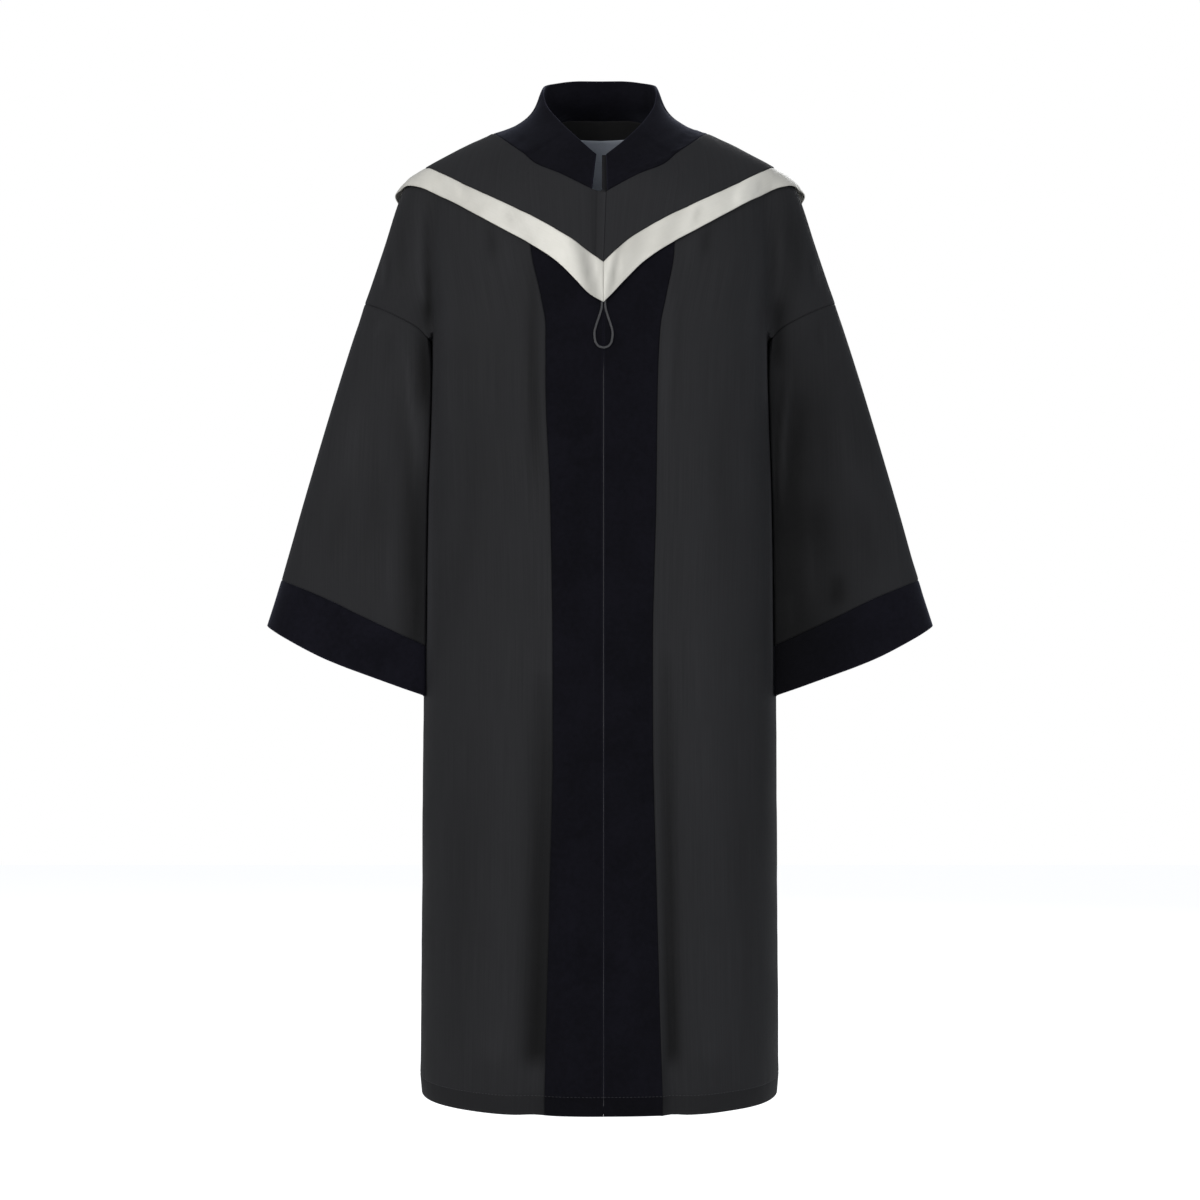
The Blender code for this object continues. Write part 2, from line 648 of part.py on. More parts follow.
def cloth_wall(name, grid, normals, wall, finish, closed=False, pull=EDGE_PULL):
    """A closed wall between a sheet and the same sheet moved inwards."""
    outer = pulled_in(grid, closed, pull)
    inner = outer - normals * wall
    rows, columns = grid.shape[:2]
    points = np.concatenate([outer.reshape(-1, 3), inner.reshape(-1, 3)])
    count = rows * columns

    def outside(i, j):
        return i * columns + j % columns

    faces = []
    for i in range(rows - 1):
        for j in range(columns if closed else columns - 1):
            cell = [outside(i, j), outside(i, j + 1), outside(i + 1, j + 1), outside(i + 1, j)]
            faces.append(cell)
            faces.append([count + v for v in turned(cell)])
    rim = [(outside(0, j), outside(0, j + 1)) for j in range(columns if closed else columns - 1)]
    rim += [(outside(rows - 1, j + 1), outside(rows - 1, j)) for j in range(columns if closed else columns - 1)]
    if not closed:
        rim += [(outside(i + 1, 0), outside(i, 0)) for i in range(rows - 1)]
        rim += [(outside(i, columns - 1), outside(i + 1, columns - 1)) for i in range(rows - 1)]
    faces += [[b, a, count + a, count + b] for a, b in rim]
    a, b, c = (points[[face[k] for face in faces]] for k in range(3))
    d = points[[face[3] for face in faces]]
    volume = (a * np.cross(b, c) + a * np.cross(c, d)).sum()
    if volume < 0:
        faces = [turned(face) for face in faces]
    mesh = bpy.data.meshes.new(name)
    mesh.from_pydata([tuple(p) for p in points], [], faces)
    mesh.update()
    mesh.shade_smooth()
    mesh.set_sharp_from_angle(angle=math.radians(40))
    return placed(name, mesh, finish)


def placed(name, mesh, finish):
    made = bpy.data.objects.new(name, mesh)
    mesh.materials.append(material(finish))
    bpy.context.scene.collection.objects.link(made)
    return made


# ------------------------------------------------------------------ the pieces
def gown_body():
    """Fronts, back, sleeves and cuffs: sheets that meet edge to edge. Gives the back's sheet."""
    sides = {"right": -1, "left": 1}
    plan = []
    for word, side in sides.items():
        plan.append((f"velvet_front_{word}", velvet_front(side), VELVET, "blue_black_velvet", False))
        plan.append((f"front_{word}", charcoal_front(side), GOWN_CLOTH, "charcoal_suiting", False))
    plan.append(("back", both_halves(half_back(), "back"), GOWN_CLOTH, "charcoal_suiting", False))
    sleeve_shares = CUFF_SEAM * np.linspace(0, 1, SLEEVE_ROWS + 1)
    cuff_shares = np.linspace(CUFF_SEAM, 1, CUFF_ROWS + 1)
    for word, side in sides.items():
        plan.append((f"sleeve_{word}", mirrored(sleeve(sleeve_shares), side), GOWN_CLOTH, "charcoal_suiting", True))
        plan.append((f"cuff_{word}", mirrored(sleeve(cuff_shares), side), VELVET, "blue_black_velvet", True))
    normals = shared_normals([(grid, closed, name) for name, grid, _, _, closed in plan])
    for (name, grid, wall, finish, closed), out in zip(plan, normals):
        cloth_wall(name, grid, out, wall, finish, closed)
    return next(grid for name, grid, *_ in plan if name == "back")


def lifted(sheets):
    """The cape's sheets moved out from the form, most at the point and behind."""
    moved = []
    for (grid, closed, name), out in zip(sheets, shared_normals(sheets)):
        tip = np.array([FRONT_EDGE_X, 0.0, BAND_FRONT[0][2]])
        near = np.exp(-(np.linalg.norm((grid - tip) * (1, 0, 1), axis=-1, keepdims=True) / TIP_REACH) ** 2)
        lift = CAPE_LIFT + TIP_LIFT * near * (grid[..., 1:2] < 0)
        lift = lift + BACK_LIFT * np.clip(grid[..., 1:2] / ARM_ROUND, 0, 1)
        moved.append((grid + out * lift, closed, name))
    return moved


def cape_and_collar():
    """The cape, its satin band and the collar, over the gown."""
    sheets = []
    for word, side in (("right", -1), ("left", 1)):
        cape, band = (mirrored(on_form(flat, "front"), side) for flat in cape_front(side))
        sheets += [(cape, False, f"cape_front_{word}"), (band, False, f"satin_band_{word}")]
    back, band = (both_halves(flat, "back") for flat in cape_back())
    sheets += [(back, False, "cape_back"), (band, False, "satin_band_back")]
    sheets = lifted(sheets)
    found = {name: grid for grid, _, name in sheets}
    back_seam = found["cape_back"][0]
    seam = np.concatenate([
        found["cape_front_right"][0][1:],
        back_seam[1:-1],
        found["cape_front_left"][0][:0:-1],
    ])
    sheets.append((collar(seam), False, "collar"))
    for (grid, closed, name), out in zip(sheets, shared_normals(sheets)):
        if name == "collar":
            cloth_wall(name, grid, out, COLLAR_WALL, "blue_black_velvet")
        elif name.startswith("satin"):
            cloth_wall(name, grid, out, SATIN, "ivory_satin")
        else:
            cloth_wall(name, grid, out, GOWN_CLOTH, "charcoal_suiting")


def cut(grid, axis, low, high):
    """The stretch of a sheet between two values of x (axis 0) or z (axis 2), new points on its own lines."""
    lines = grid if axis == 0 else grid.swapaxes(0, 1)
    places = lines[..., axis]

    def crossing(place):
        return np.array([[[np.interp(place, line[:, axis], line[:, k]) for k in range(3)]] for line in lines])

    keep = ((places > low + ON_OUTLINE) & (places < high - ON_OUTLINE)).all(axis=0)
    part = np.concatenate([crossing(low), lines[:, keep], crossing(high)], axis=1)
    return part if axis == 0 else part.swapaxes(0, 1)


def neck_facing_and_label(back):
    """Inside the back: a facing strip under the collar seam and a bare label on it."""
    middle = back.shape[1] // 2
    facing = back[-FACING_ROWS:, middle - FACING_COLUMNS:middle + FACING_COLUMNS + 1]
    out = shared_normals([(facing, False, "")])[0]
    sink = GOWN_CLOTH + SEAM_GAP
    cloth_wall("neck_facing", facing - out * sink, out, TAPE, "neck_facing_cloth", pull=FACING_DROP)
    label = cut(cut(facing, 0, -LABEL_HALF_WIDTH, LABEL_HALF_WIDTH), 2, LABEL_FOOT, LABEL_TOP)
    out = shared_normals([(label, False, "")])[0]
    cloth_wall("label", label - out * (sink + TAPE + 2 * SEAM_GAP), out, TAPE, "label_cloth")


def zip_tapes():
    """The zip's two tapes behind the front edges, hem to neck; the left one shows in the neck slit."""
    for word, side in (("right", -1), ("left", 1)):
        middle = front_edge(side)
        tape = mirrored(velvet_front(side), side)
        tape = cut(tape, 0, middle + ZIP_SHOWS, middle + ZIP_TAPE_WIDTH)
        tape[:, 0, 0] = middle
        tape = cut(tape, 2, HEM_LEVEL + ZIP_FOOT, NECK_FRONT_LEVEL)
        if side > 0:
            rise = np.array([[[0.0, COLLAR_LEAN * ZIP_TAPE_RISE, ZIP_TAPE_RISE]]])
            tape = np.concatenate([tape, tape[-1:] + rise / 2, tape[-1:] + rise])
        tape = mirrored(tape, side)
        out = shared_normals([(tape, False, "")])[0]
        cloth_wall(f"zip_tape_{word}", tape - out * (VELVET + SEAM_GAP), out, TAPE, "zip_tape")


def zip_slider():
    """The slider at the top of the closed zip, behind the tapes, its top just in sight in the neck slit."""
    width, thick, height = SLIDER_SIZE
    centre = NECK_FRONT_LEVEL + SLIDER_SHOWS - height / 2
    tapes = VELVET + SEAM_GAP + TAPE
    face = -float(depth(FRONT_EDGE_X, centre, "front")) + tapes + SLIDER_GAP
    bpy.ops.mesh.primitive_cube_add(size=1)
    slider = bpy.context.object
    slider.name = "zip_slider"
    slider.dimensions = SLIDER_SIZE
    slider.rotation_euler = (SLIDER_TILT, 0, 0)
    slider.location = (FRONT_EDGE_X, face + thick / 2, centre)
    bpy.ops.object.transform_apply(location=False, rotation=False, scale=True)
    bevel = slider.modifiers.new("worn_edges", "BEVEL")
    bevel.width = thick / 5
    bevel.segments = 2
    slider.data.materials.append(material("dark_metal"))


def cord_loop():
    """The hanging cord loop: a teardrop from under the satin band's point, lying on the velvet."""
    tip = BAND_FRONT[0][2]
    side = np.array(LOOP_SIDE)
    half = along(side, np.linspace(0, 1, 13))
    line = np.concatenate([half * (-1, 1), half[-2::-1]])
    x, z = FRONT_EDGE_X + line[:, 0], tip - line[:, 1]
    y = -depth(x, z, "front") - LOOP_RISE - LOOP_DIAMETER / 2
    curve = bpy.data.curves.new("cord_loop", "CURVE")
    curve.dimensions = "3D"
    curve.bevel_depth = LOOP_DIAMETER / 2
    curve.bevel_resolution = 2
    curve.use_fill_caps = True
    spline = curve.splines.new("POLY")
    spline.points.add(len(x) - 1)
    for point, place in zip(spline.points, zip(x, y, z)):
        point.co = (*place, 1.0)
    made = bpy.data.objects.new("cord_loop", curve)
    curve.materials.append(material("cord"))
    bpy.context.scene.collection.objects.link(made)


def main():
    for old in list(bpy.data.objects):
        bpy.data.objects.remove(old, do_unlink=True)
    back = gown_body()
    cape_and_collar()
    neck_facing_and_label(back)
    zip_tapes()
    zip_slider()
    cord_loop()


main()
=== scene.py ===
import math

import bpy
import numpy as np
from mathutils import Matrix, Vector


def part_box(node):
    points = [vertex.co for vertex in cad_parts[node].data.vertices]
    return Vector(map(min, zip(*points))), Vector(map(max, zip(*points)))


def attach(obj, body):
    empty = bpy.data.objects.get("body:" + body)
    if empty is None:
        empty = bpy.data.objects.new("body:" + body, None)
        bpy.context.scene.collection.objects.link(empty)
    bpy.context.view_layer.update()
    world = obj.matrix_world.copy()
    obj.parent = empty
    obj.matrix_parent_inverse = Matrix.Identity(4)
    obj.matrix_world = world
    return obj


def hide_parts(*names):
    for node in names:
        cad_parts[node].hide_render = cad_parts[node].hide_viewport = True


# A long zip-front graduation gown: charcoal suiting with blue-black velvet fronts, cuffs and stand collar,
# and a shoulder cape edged with ivory satin. Every panel is a thin shell on the gown's form, with its
# seams, folds and creases, its own weave and its stitching.
# Metres. Front towards -Y, wearer's left towards +X, origin between the shoulders at the base of the neck.

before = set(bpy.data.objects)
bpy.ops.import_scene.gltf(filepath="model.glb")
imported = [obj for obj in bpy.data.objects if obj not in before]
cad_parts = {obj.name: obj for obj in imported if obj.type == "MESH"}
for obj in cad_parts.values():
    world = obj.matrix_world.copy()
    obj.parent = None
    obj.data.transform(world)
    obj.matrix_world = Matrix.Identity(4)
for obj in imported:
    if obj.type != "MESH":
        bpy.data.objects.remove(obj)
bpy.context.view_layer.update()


# ------------------------------------------------------------------ curves and tables
def smooth(places, values, at):
    """A curve through the values that never swings past them: a monotone cubic."""
    order = np.argsort(places)
    x, y = np.asarray(places, float)[order], np.asarray(values, float)[order]
    step, slope = np.diff(x), np.diff(y) / np.diff(x)
    before, after = slope[:-1], slope[1:]
    together = before * after > 0
    total = np.where(together, before + after, 1.0)
    middle = np.where(together, 2 * before * after / total, 0.0)
    tangent = np.concatenate([slope[:1], middle, slope[-1:]])
    at = np.clip(at, x[0], x[-1])
    i = np.clip(np.searchsorted(x, at, side="right") - 1, 0, len(step) - 1)
    t = (at - x[i]) / step[i]
    start = (1 + 2 * t) * (1 - t) ** 2 * y[i] + t * (1 - t) ** 2 * step[i] * tangent[i]
    return start + t * t * (3 - 2 * t) * y[i + 1] + t * t * (t - 1) * step[i] * tangent[i + 1]


class Table:
    """Named columns, a row to a line, in millimetres except for the columns that plain names."""

    def __init__(self, columns, rows, plain=""):
        scale = [1 if name in plain.split() else 1000 for name in columns.split()]
        self.rows = np.array([row.split() for row in rows.strip().splitlines()], float) / scale
        self.column = dict(zip(columns.split(), self.rows.T))

    def at(self, name, place):
        """A named column as a smooth function of the first one."""
        return smooth(self.rows[:, 0], self.column[name], place)


def unit(ways):
    return ways / np.maximum(np.linalg.norm(ways, axis=-1, keepdims=True), 1e-15)


def shares(count):
    return np.linspace(0, 1, count + 1)


def closing(count):
    """Shares from 0 to 1 that come closer together towards 1, where the form turns over the shoulder."""
    return np.sin(np.linspace(0, math.pi / 2, count + 1))


def run_of(points, axis=0):
    """The length along lines of points at each of them."""
    step = np.linalg.norm(np.diff(points, axis=axis), axis=-1)
    return np.insert(np.cumsum(step, axis=axis), 0, 0.0, axis=axis)


def picked(wanted, places, line):
    """Points of a line at wanted places, given the places of its own points."""
    return np.stack([np.interp(wanted, places, axis) for axis in line.T], axis=-1)


FINE_STEPS = 400


def along(points, fractions):
    """Points at the given fractions of the length of a smooth line through a few points."""
    points = np.asarray(points, float)
    chord = run_of(points)
    fine = np.linspace(0, chord[-1], FINE_STEPS)
    line = np.stack([smooth(chord, axis, fine) for axis in points.T], axis=1)
    length = run_of(line)
    return picked(np.asarray(fractions) * length[-1], length, line)


def fill_out(distance, reach):
    """A quarter round: 0 at an outline, 1 from a reach inside it."""
    t = 1 - np.clip(distance / reach, 0, 1)
    return np.sqrt(np.clip(1 - t * t, 0, 1))


def soft_step(value, low, high):
    t = np.clip((value - low) / (high - low), 0, 1)
    return t * t * (3 - 2 * t)


def bell(distance, reach):
    return np.exp(-((distance / reach) ** 2))


def fading(distance, reach):
    return np.exp(-distance / reach)


def uneven(place, spacing, seed, height=1.0):
    """A smooth wander, about this high and as deep, with roughly one swing for each spacing."""
    turn = 2 * math.pi * place / spacing
    slow, quick = 0.577 * turn + 5.3 * seed + 2.1, 1.618 * turn + 3.1 * seed + 0.6
    return height * (0.5 * np.sin(turn + 1.7 * seed) + 0.32 * np.sin(quick) + 0.28 * np.sin(slow))


def patch(bottom, top, left, right):
    """The points of a four-sided patch between its edges (Coons). Bottom and top run from left to right."""
    u, v = shares(len(bottom) - 1)[None, :, None], shares(len(left) - 1)[:, None, None]
    ruled = (1 - v) * bottom + v * top + (1 - u) * left[:, None] + u * right[:, None]
    low = (1 - u) * bottom[0] + u * bottom[-1]
    high = (1 - u) * top[0] + u * top[-1]
    return ruled - (1 - v) * low - v * high


# ------------------------------------------------------------------ sizes
GOWN_CLOTH = 0.0015  # wall of the charcoal suiting
VELVET = 0.0017  # wall of the velvet fronts and cuffs
COLLAR_WALL = 0.0026  # two layers of velvet and an interlining
SATIN = 0.0014
TAPE = 0.001  # zip tape, facing and label
SEAM_GAP = 0.0003
SEAM_PULL = 0.00008  # how far each panel's outer face stops short of its seam line
HEM_TURNING = 0.022  # the hem is turned up by this much
HEM_LAYER = 0.0011  # and is thicker by this much inside
HEM_FALL = 0.0018  # its edge falls inwards by this much
HEM_DENT = 0.00035  # and its stitches draw it in by this much
HEM_DENT_REACH = 0.0009
TURNING_SOFTNESS = 0.0006

HEM_LEVEL = -1.142
UNDERARM_LEVEL = -0.255
FRONT_EDGE_X = 0.004  # the two fronts meet just off the middle
CAPE_LIFT = 0.0034  # outer face of the cape above the gown's
TIP_LIFT = 0.0017  # the cape's point stands off this much further, over the cord
TIP_REACH = 0.04
BACK_LIFT = 0.0016  # and the cape's back hangs off by this much more
FLARE = 0.0082  # behind each shoulder the band's free edge stands out by this much
FLARE_PLACE = 0.024
FLARE_REACH = 0.0185
FLARE_DROP = 0.35  # it falls by this share of the way that it stands out
FLARE_LEAN = 1.3  # and bends towards its edge
PLACKET_TOP_X = 0.0072  # the cape's edges meet here at the neck, and at the fronts' edge at its point
PLACKET_WIDTH = 0.0108
PLACKET_RISE = 0.0011

# The torso tube, one row for each level.
TORSO = Table("level half_width front back squareness", """
-1142   213 183 168 2.55
 -950 211.6 173 156  2.6
 -700 209.8 163 142  2.9
 -450 205.7 154 129  3.2
 -255 199.5 145 122  3.4
 -180   200 135 121  3.3
  -80   201 110 116  3.1
    0   201  92 106  2.8
   60   201  80  94  2.6
""", plain="squareness")
# The outline seen from the front, from beside the neck along the shoulder to the sleeve seam.
SHOULDER = Table("across level", """
   72     60
   86     24
  104      7
  128   -4.7
  171  -24.5
212.8  -47.8
233.8  -64.3
242.4  -85.5
257.5 -133.2
  282 -205.2
""").rows
NECK_POINT = 0.128  # where the collar seam crosses the shoulder
CAPE_POINT = 0.208  # where the satin band's upper edge crosses it
BAND_POINT = 0.2368  # where its lower edge does
SHOULDER_ROUND = 0.1  # how far below the shoulder line the torso takes to fill out
ARM_ROUND = 0.045
ARMPIT_ROUND = {"front": 0.005, "back": 0.03}
SIDE_FADE = 0.03
ARM_SLOPE = 0.35  # in front the arm is this much deeper beside the torso
ARM_SLOPE_REACH = 0.09
# The upper arm, one row for each level: where it leaves the torso, and its depth.
ARM = Table("level inner_edge front back blend", """
-255 199.5 50 100  0
-246   191 50 100  2
-235   185 50 100  3
-180   168 49  98  5
-100   120 48  90  9
   0    60 46  80 22
""")
# The sleeve seam seen from the front, from the armpit up to the shoulder outline.
ARMHOLE = Table("across level", """
199.5   -255
212.8 -240.5
227.7 -231.2
253.9 -217.9
  282 -205.2
""").rows
# The sleeve, one row for each ring from the sleeve seam to the end of the cuff. The dip is how far the
# front of the ring hangs below its ends.
SLEEVE = Table("along outer_x outer_z inner_z front back dip", """
    0   282 -205.2   -255 50 100  0
 0.25   313   -302   -360 52  98  0
  0.6 353.5   -437   -505 54  90 -1
0.857 381.6 -535.2 -613.5 56  84 -3
    1   399   -590 -672.5 58  82  4
""", plain="along")
CUFF_SEAM = 0.857
SLEEVE_CLEARANCE = 0.0009  # between the hanging sleeve and the gown's side
CLEARANCE_REACH = 0.12  # of the sleeve's length, until it hangs that clear
ARMPIT_GAP = 0.0008
SLEEVE_SQUARENESS = 2.3
SLEEVE_INNER_SQUARENESS = 34.0  # flatter where it hangs against the gown's side
CORNER_CLOSER = 0.35  # the points round a ring come this much closer at its corners
SEAM_SHAPE_REACH = 0.16  # how far down the sleeve the shape of its seam carries
SLEEVE_SWELL = 0.018  # its front stands out by this much more beside the body
RING_STEPS = 720  # steps in which a ring is first worked out, front half then back half
TORSO_STEPS = 300
ARMHOLE_STEPS = 181
SWELL_ACROSS = (-0.7, 0.9)  # the sleeve swells between these places across it
HUG_ACROSS = (0.4, 1.0)  # and hugs the body between these
# How much of a ring's dip there is from its outer end (-1) to its inner end (1).
DIP = Table("across share", """
   -1    0
-0.73 0.75
-0.23 1.45
 0.15 1.05
 0.42 0.55
  0.8 0.25
    1    0
""", plain="across share")

# The seam between the velvet and the charcoal fronts: its distance out on the wearer's right and left.
VELVET_SEAM = Table("level right left", """
-1142   64 72.4
-1006 60.6 67.9
 -876 57.2 64.2
 -712 53.9 60.3
 -616   54 60.2
 -445 56.9 64.2
 -312 62.2   66
 -247 62.3 69.2
 -213 67.5 75.5
 -155 79.6 85.7
-40.2   88   88
""")
SEAM_TOP = 2  # the row of the next table where the velvet seam meets the neck seam
# The collar seam seen from the front and from behind, from the middle out to the neck point.
NECK_FRONT = Table("across level", """
   44 -67.2
   74 -53.5
   88 -40.2
105.3 -26.3
  128  -4.7
""").rows
NECK_BACK = Table("across level", """
  0   34
 30 32.5
 60 23.5
100  2.5
128 -4.7
""").rows
NECK_FRONT_LEVEL = -0.0892  # where the neck seam ends at the front edge
COLLAR_CORNER = {-1: (0.0088, -0.0856), 1: (0.008, -0.0872)}
# The satin band's two edges seen from the front, as far as the shoulder.
BAND_FRONT = Table("across upper lower", """
   0 -172.2 -219.5
11.5 -161.2   -211
  30 -146.5   -191
  48   -135   -173
  66 -124.3 -159.5
  85 -113.6 -147.5
 113  -99.5 -131.4
 150  -79.5   -109
 180  -60.2  -89.3
 200  -48.5  -77.3
 215    -43  -71.4
 230    -42  -68.4
""").rows
# Near the point the wearer's left side hangs a little lower: its upper and its lower edge.
POINT_DROP = {-1: (0.0, 0.0004), 1: (-0.0048, -0.0012)}
POINT_REACH = (0.0, 0.038, 0.08)
POINT_SPACE = 0.004  # no point of the table lies nearer to an edge's end
BAND_BACK_UPPER = Table("across level", """
  0 -216.5
 25   -215
 70 -204.5
130   -172
180   -126
205    -80
""").rows
BAND_BACK_LOWER = Table("across level", """
  0 -246.5
 27   -245
 75 -233.5
145   -196
205   -146
236   -102
""").rows

# The collar's free edge on one side: up the slit, up the V to the shoulder, then round the rim to the back.
# On the wearer's left the V stands further out.
COLLAR_EDGE = Table("x y z left_shift", """
 4.3 -90.5 -39.8 2.8
27.8 -74.5   -16 5.2
  48   -52     7 4.2
65.2   -24  33.5 0.8
  69    -2  52.5   0
  68    22    62   0
  49    56    73   0
  24    70  77.9   0
   0    74  78.8   0
""").rows
COLLAR_HOLLOW = (0.0, 0.001, 0.006, 0.0115, 0.0172, 0.0175, 0.012, 0.008)
HOLLOW_LEAN = 1.5
COLLAR_SHOULDER_SHARE = 10 / 21  # of the way round its edge, the collar crosses the shoulder

LABEL_HALF_WIDTH = 0.034
LABEL_TOP = 0.0108
LABEL_FOOT = -0.0552
LABEL_SEAM = 0.0034  # the label is stitched down this far below its top

ZIP_TAPE_WIDTH = 0.0075
ZIP_TAPE_RISE = 0.0505  # the wearer's left tape shows this far up the neck slit
ZIP_TAPE_STEPS = (0.1, 0.2, 0.4, 0.6, 0.8, 1.0)
ZIP_TAPE_SHIFT = 0.0017  # and this far across it
# painted highlights: lighter lines on the tape at these distances from its edge, along its stitching
TAPE_STITCH_HIGHLIGHTS = (0.0014, 0.0048)
TAPE_FOOT = 0.003  # the zip's tapes stop this far above the hem
ZIP_FOOT = 0.012  # and its teeth this far
ZIP_TOP = 0.009  # and this far below the neck
ZIP_SHOWS = 0.00042  # each velvet front stops this far short of the zip's middle
# That gap is not the same all the way down.
GAP = Table("level share", """
-1142 0.35
-1014 0.28
 -900 0.28
 -830    0
 -760    0
 -673  0.8
 -559 0.75
 -445 1.15
 -330  0.9
""", plain="share")
ZIP_CLOSED = 0.00006  # but the fronts all but touch below the zip and behind the cape's point
ZIP_OPENS = (0.01, 0.017)  # above the hem
ZIP_COVERED = (0.272, 0.304)  # how far below the shoulders it closes, behind the cape's point
COLLAR_LEAN = 0.56
TOOTH_PITCH = 0.0015
TOOTH_SIZE = (0.00105, 0.0009, 0.00085)
TOOTH_SINK = 0.00055  # the teeth's middle below the velvet's face
TOOTH_SINK_MORE = 0.0014  # and further where the fronts close over them
TOOTH_COVERED = (-0.312, -0.272)  # between these levels
TOOTH_STAGGER = 0.00016
# A tooth seen from above, and its layers: each one's height and width.
TOOTH_RING = ((-1, -0.45), (-0.6, -1), (0.6, -1), (1, -0.45), (1, 0.45), (0.6, 1), (-0.6, 1), (-1, 0.45))
TOOTH_LAYERS = ((-1, 0.72), (-0.55, 1), (0.55, 1), (1, 0.72))
SLIDER_SIZE = (0.0068, 0.0027, 0.0078)
SLIDER_TILT = -0.42
SLIDER_RISE = 0.003
SLIDER_FOOT = ((-0.25, 0.88), (-0.5, 0.74))  # its two lowest rows: their level and width
SLIDER_WEAR = 0.00055  # its edges are worn round by this much

LOOP_DIAMETER = 0.0026
LOOP_RISE = 0.0005  # the cord's underside above the velvet it lies on
LOOP_STRANDS = 3
LOOP_TWIST = 0.0078  # length of one full turn of its strands
STRAND_SPREAD = 1.04  # the strands lie a little apart
STRAND_SECTION = 10
LOOP_STEPS = 120
# The hanging loop seen from the front: one side of the teardrop, down from under the band's point.
LOOP_SIDE = Table("across down", """
 1.6   -7
   2    4
 4.8   15
 8.4   26
10.4   35
 9.4   44
 5.4   50
   0 51.8
""").rows

# A hem stitch every few threads, and its shape from end to end.
STITCH_PITCH = 0.0042
STITCH_LENGTH = 0.0026
STITCH_THICKNESS = 0.00042
STITCH_LIFT = 0.12  # they stand out unevenly by this share
STITCH_BEAT = 7.3
STITCH_SECTION = 6
STITCH = Table("share swell rise", """
   0 0.35 -0.9
0.12 0.85 0.15
 0.5    1 0.45
0.88 0.85 0.15
   1 0.35 -0.9
""", plain="share swell rise").rows

# Soft vertical folds: the place across at their top and foot, their levels, half width and height.
# A height below zero is a trough.
FOLD_COLUMNS = "top_x foot_x top foot half_width height"
FOLDS = {
    "front": Table(FOLD_COLUMNS, """
 -62 -75.5 -640 -1160 14.5 -7.5
-114  -120 -550 -1160   20  1.8
  62  72.5 -560 -1160  3.4  2.6
  75  83.5 -620 -1160  9.2 -6.8
 120   127 -600 -1160   22    2
"""),
    "back": Table(FOLD_COLUMNS, """
   0    2 -300 -1160 24    7
 -54  -64 -340 -1160 23   -6
  56   67 -320 -1160 22 -6.5
-110 -124 -380 -1160 24    6
 112  127 -420 -1160 25  5.5
"""),
}

# Creases seen from the front or from behind: where each starts and ends, how far it bows sideways, its
# half width and its height.
CREASE_COLUMNS = "x z end_x end_z bow half_width height"
BODY_FRONT_CREASES = Table(CREASE_COLUMNS, """
  -132 -118   -124  -176  3   6 -1.8
  -112 -128   -106  -205  4   8  0.8
   130 -116    122  -174 -3   6 -1.8
   110 -126    104  -190 -3   8  0.8
  -205  -88 -198.5  -245 -1   3 -2.2
  -213  -84   -208  -220 -3   5  1.4
  -230  -80   -232  -200 -4   7 -1.2
-255.5 -142   -259  -196  1 2.2  2.6
  -250 -138   -253  -200  1   3 -0.9
   205  -88    199  -240  2 3.4 -1.2
 212.5  -84    208  -215  3   5  1.3
   228  -85    233  -205  4 7.5 -1.3
   256 -140    260  -194 -1 2.2  2.4
   250 -136    253  -200 -1   3 -0.9
  -188  -90   -178  -420  6  11  1.2
   186  -95    180  -380 -5  10  1.1
   -79 -170    -65  -470 -3   6 -1.4
    85 -170     69  -420  3 3.2    1
    93 -170     76  -400  3   6 -0.9
 -56.5 -480    -56  -760  1 3.2  0.9
  -150 -240   -168  -640 10  16   -1
   144 -260    158  -600 -8  15 -0.9
  -104 -300   -100  -780 -6  20  0.4
   102 -340    110  -820  6  18  0.5
  -166 -700   -172 -1120  8  17 -0.8
   168 -660    176 -1110 -6  16 -0.7
  -146 -820   -150 -1150  3  10  0.5
   152 -840    158 -1150 -3  10  0.5
   -40 -760    -36 -1150  3  14    1
    34 -800     40 -1150 -3  13    1
   -26 -300    -34  -700  4  11 -0.6
    36 -340     32  -660 -4  11 -0.6
""")
BODY_BACK_CREASES = Table(CREASE_COLUMNS, """
-150 -200 -164  -560  8 15 -1.6
 146 -220  162  -600 -7 15 -1.5
 -30 -230  -34  -620  4 13  1.6
  28 -260   36  -560 -4 12  1.4
 -86 -700  -94 -1130  6 11    2
  90 -640   98 -1140 -5 11  1.8
-160 -720 -172 -1120  6 15 -2.2
 164 -760  174 -1130 -6 15   -2
-186 -160 -182  -420 -4 10  1.6
 184 -150  180  -440  4 10  1.5
-232 -110 -238  -210 -4  8 -1.5
 230 -105  240  -215  4  8 -1.4
""")
SLEEVE_FRONT_CREASES = Table(CREASE_COLUMNS, """
-232.5 -240 -211.5 -410  0 4.6  2.6
  -211 -230   -204 -360  0   6 -1.4
  -244 -300   -228 -490  8 7.5 -1.6
  -258 -220   -264 -252  1 2.8  1.1
  -246 -230   -256 -300  3 5.5   -1
  -286 -300   -308 -440  5  12  1.2
  -260 -380   -282 -540  6  14 -1.2
  -300 -420   -324 -530  3  10   -1
  -244 -470   -250 -600  2   8  1.2
  -222 -520   -225 -610  1   5  1.2
   228 -276    213 -470 -6 4.6  2.4
   216 -270    204 -530 -3 3.2 -1.6
   242 -300    230 -520 -6   9 -1.8
   258 -222    264 -275 -2 4.5   -1
   284 -290    306 -450 -5  12  1.2
   258 -400    280 -550 -6  14 -1.2
   308 -430    326 -540 -3   9 -0.9
   246 -460    253 -600 -2   8  1.1
   224 -530    226 -610 -1   5    1
""")
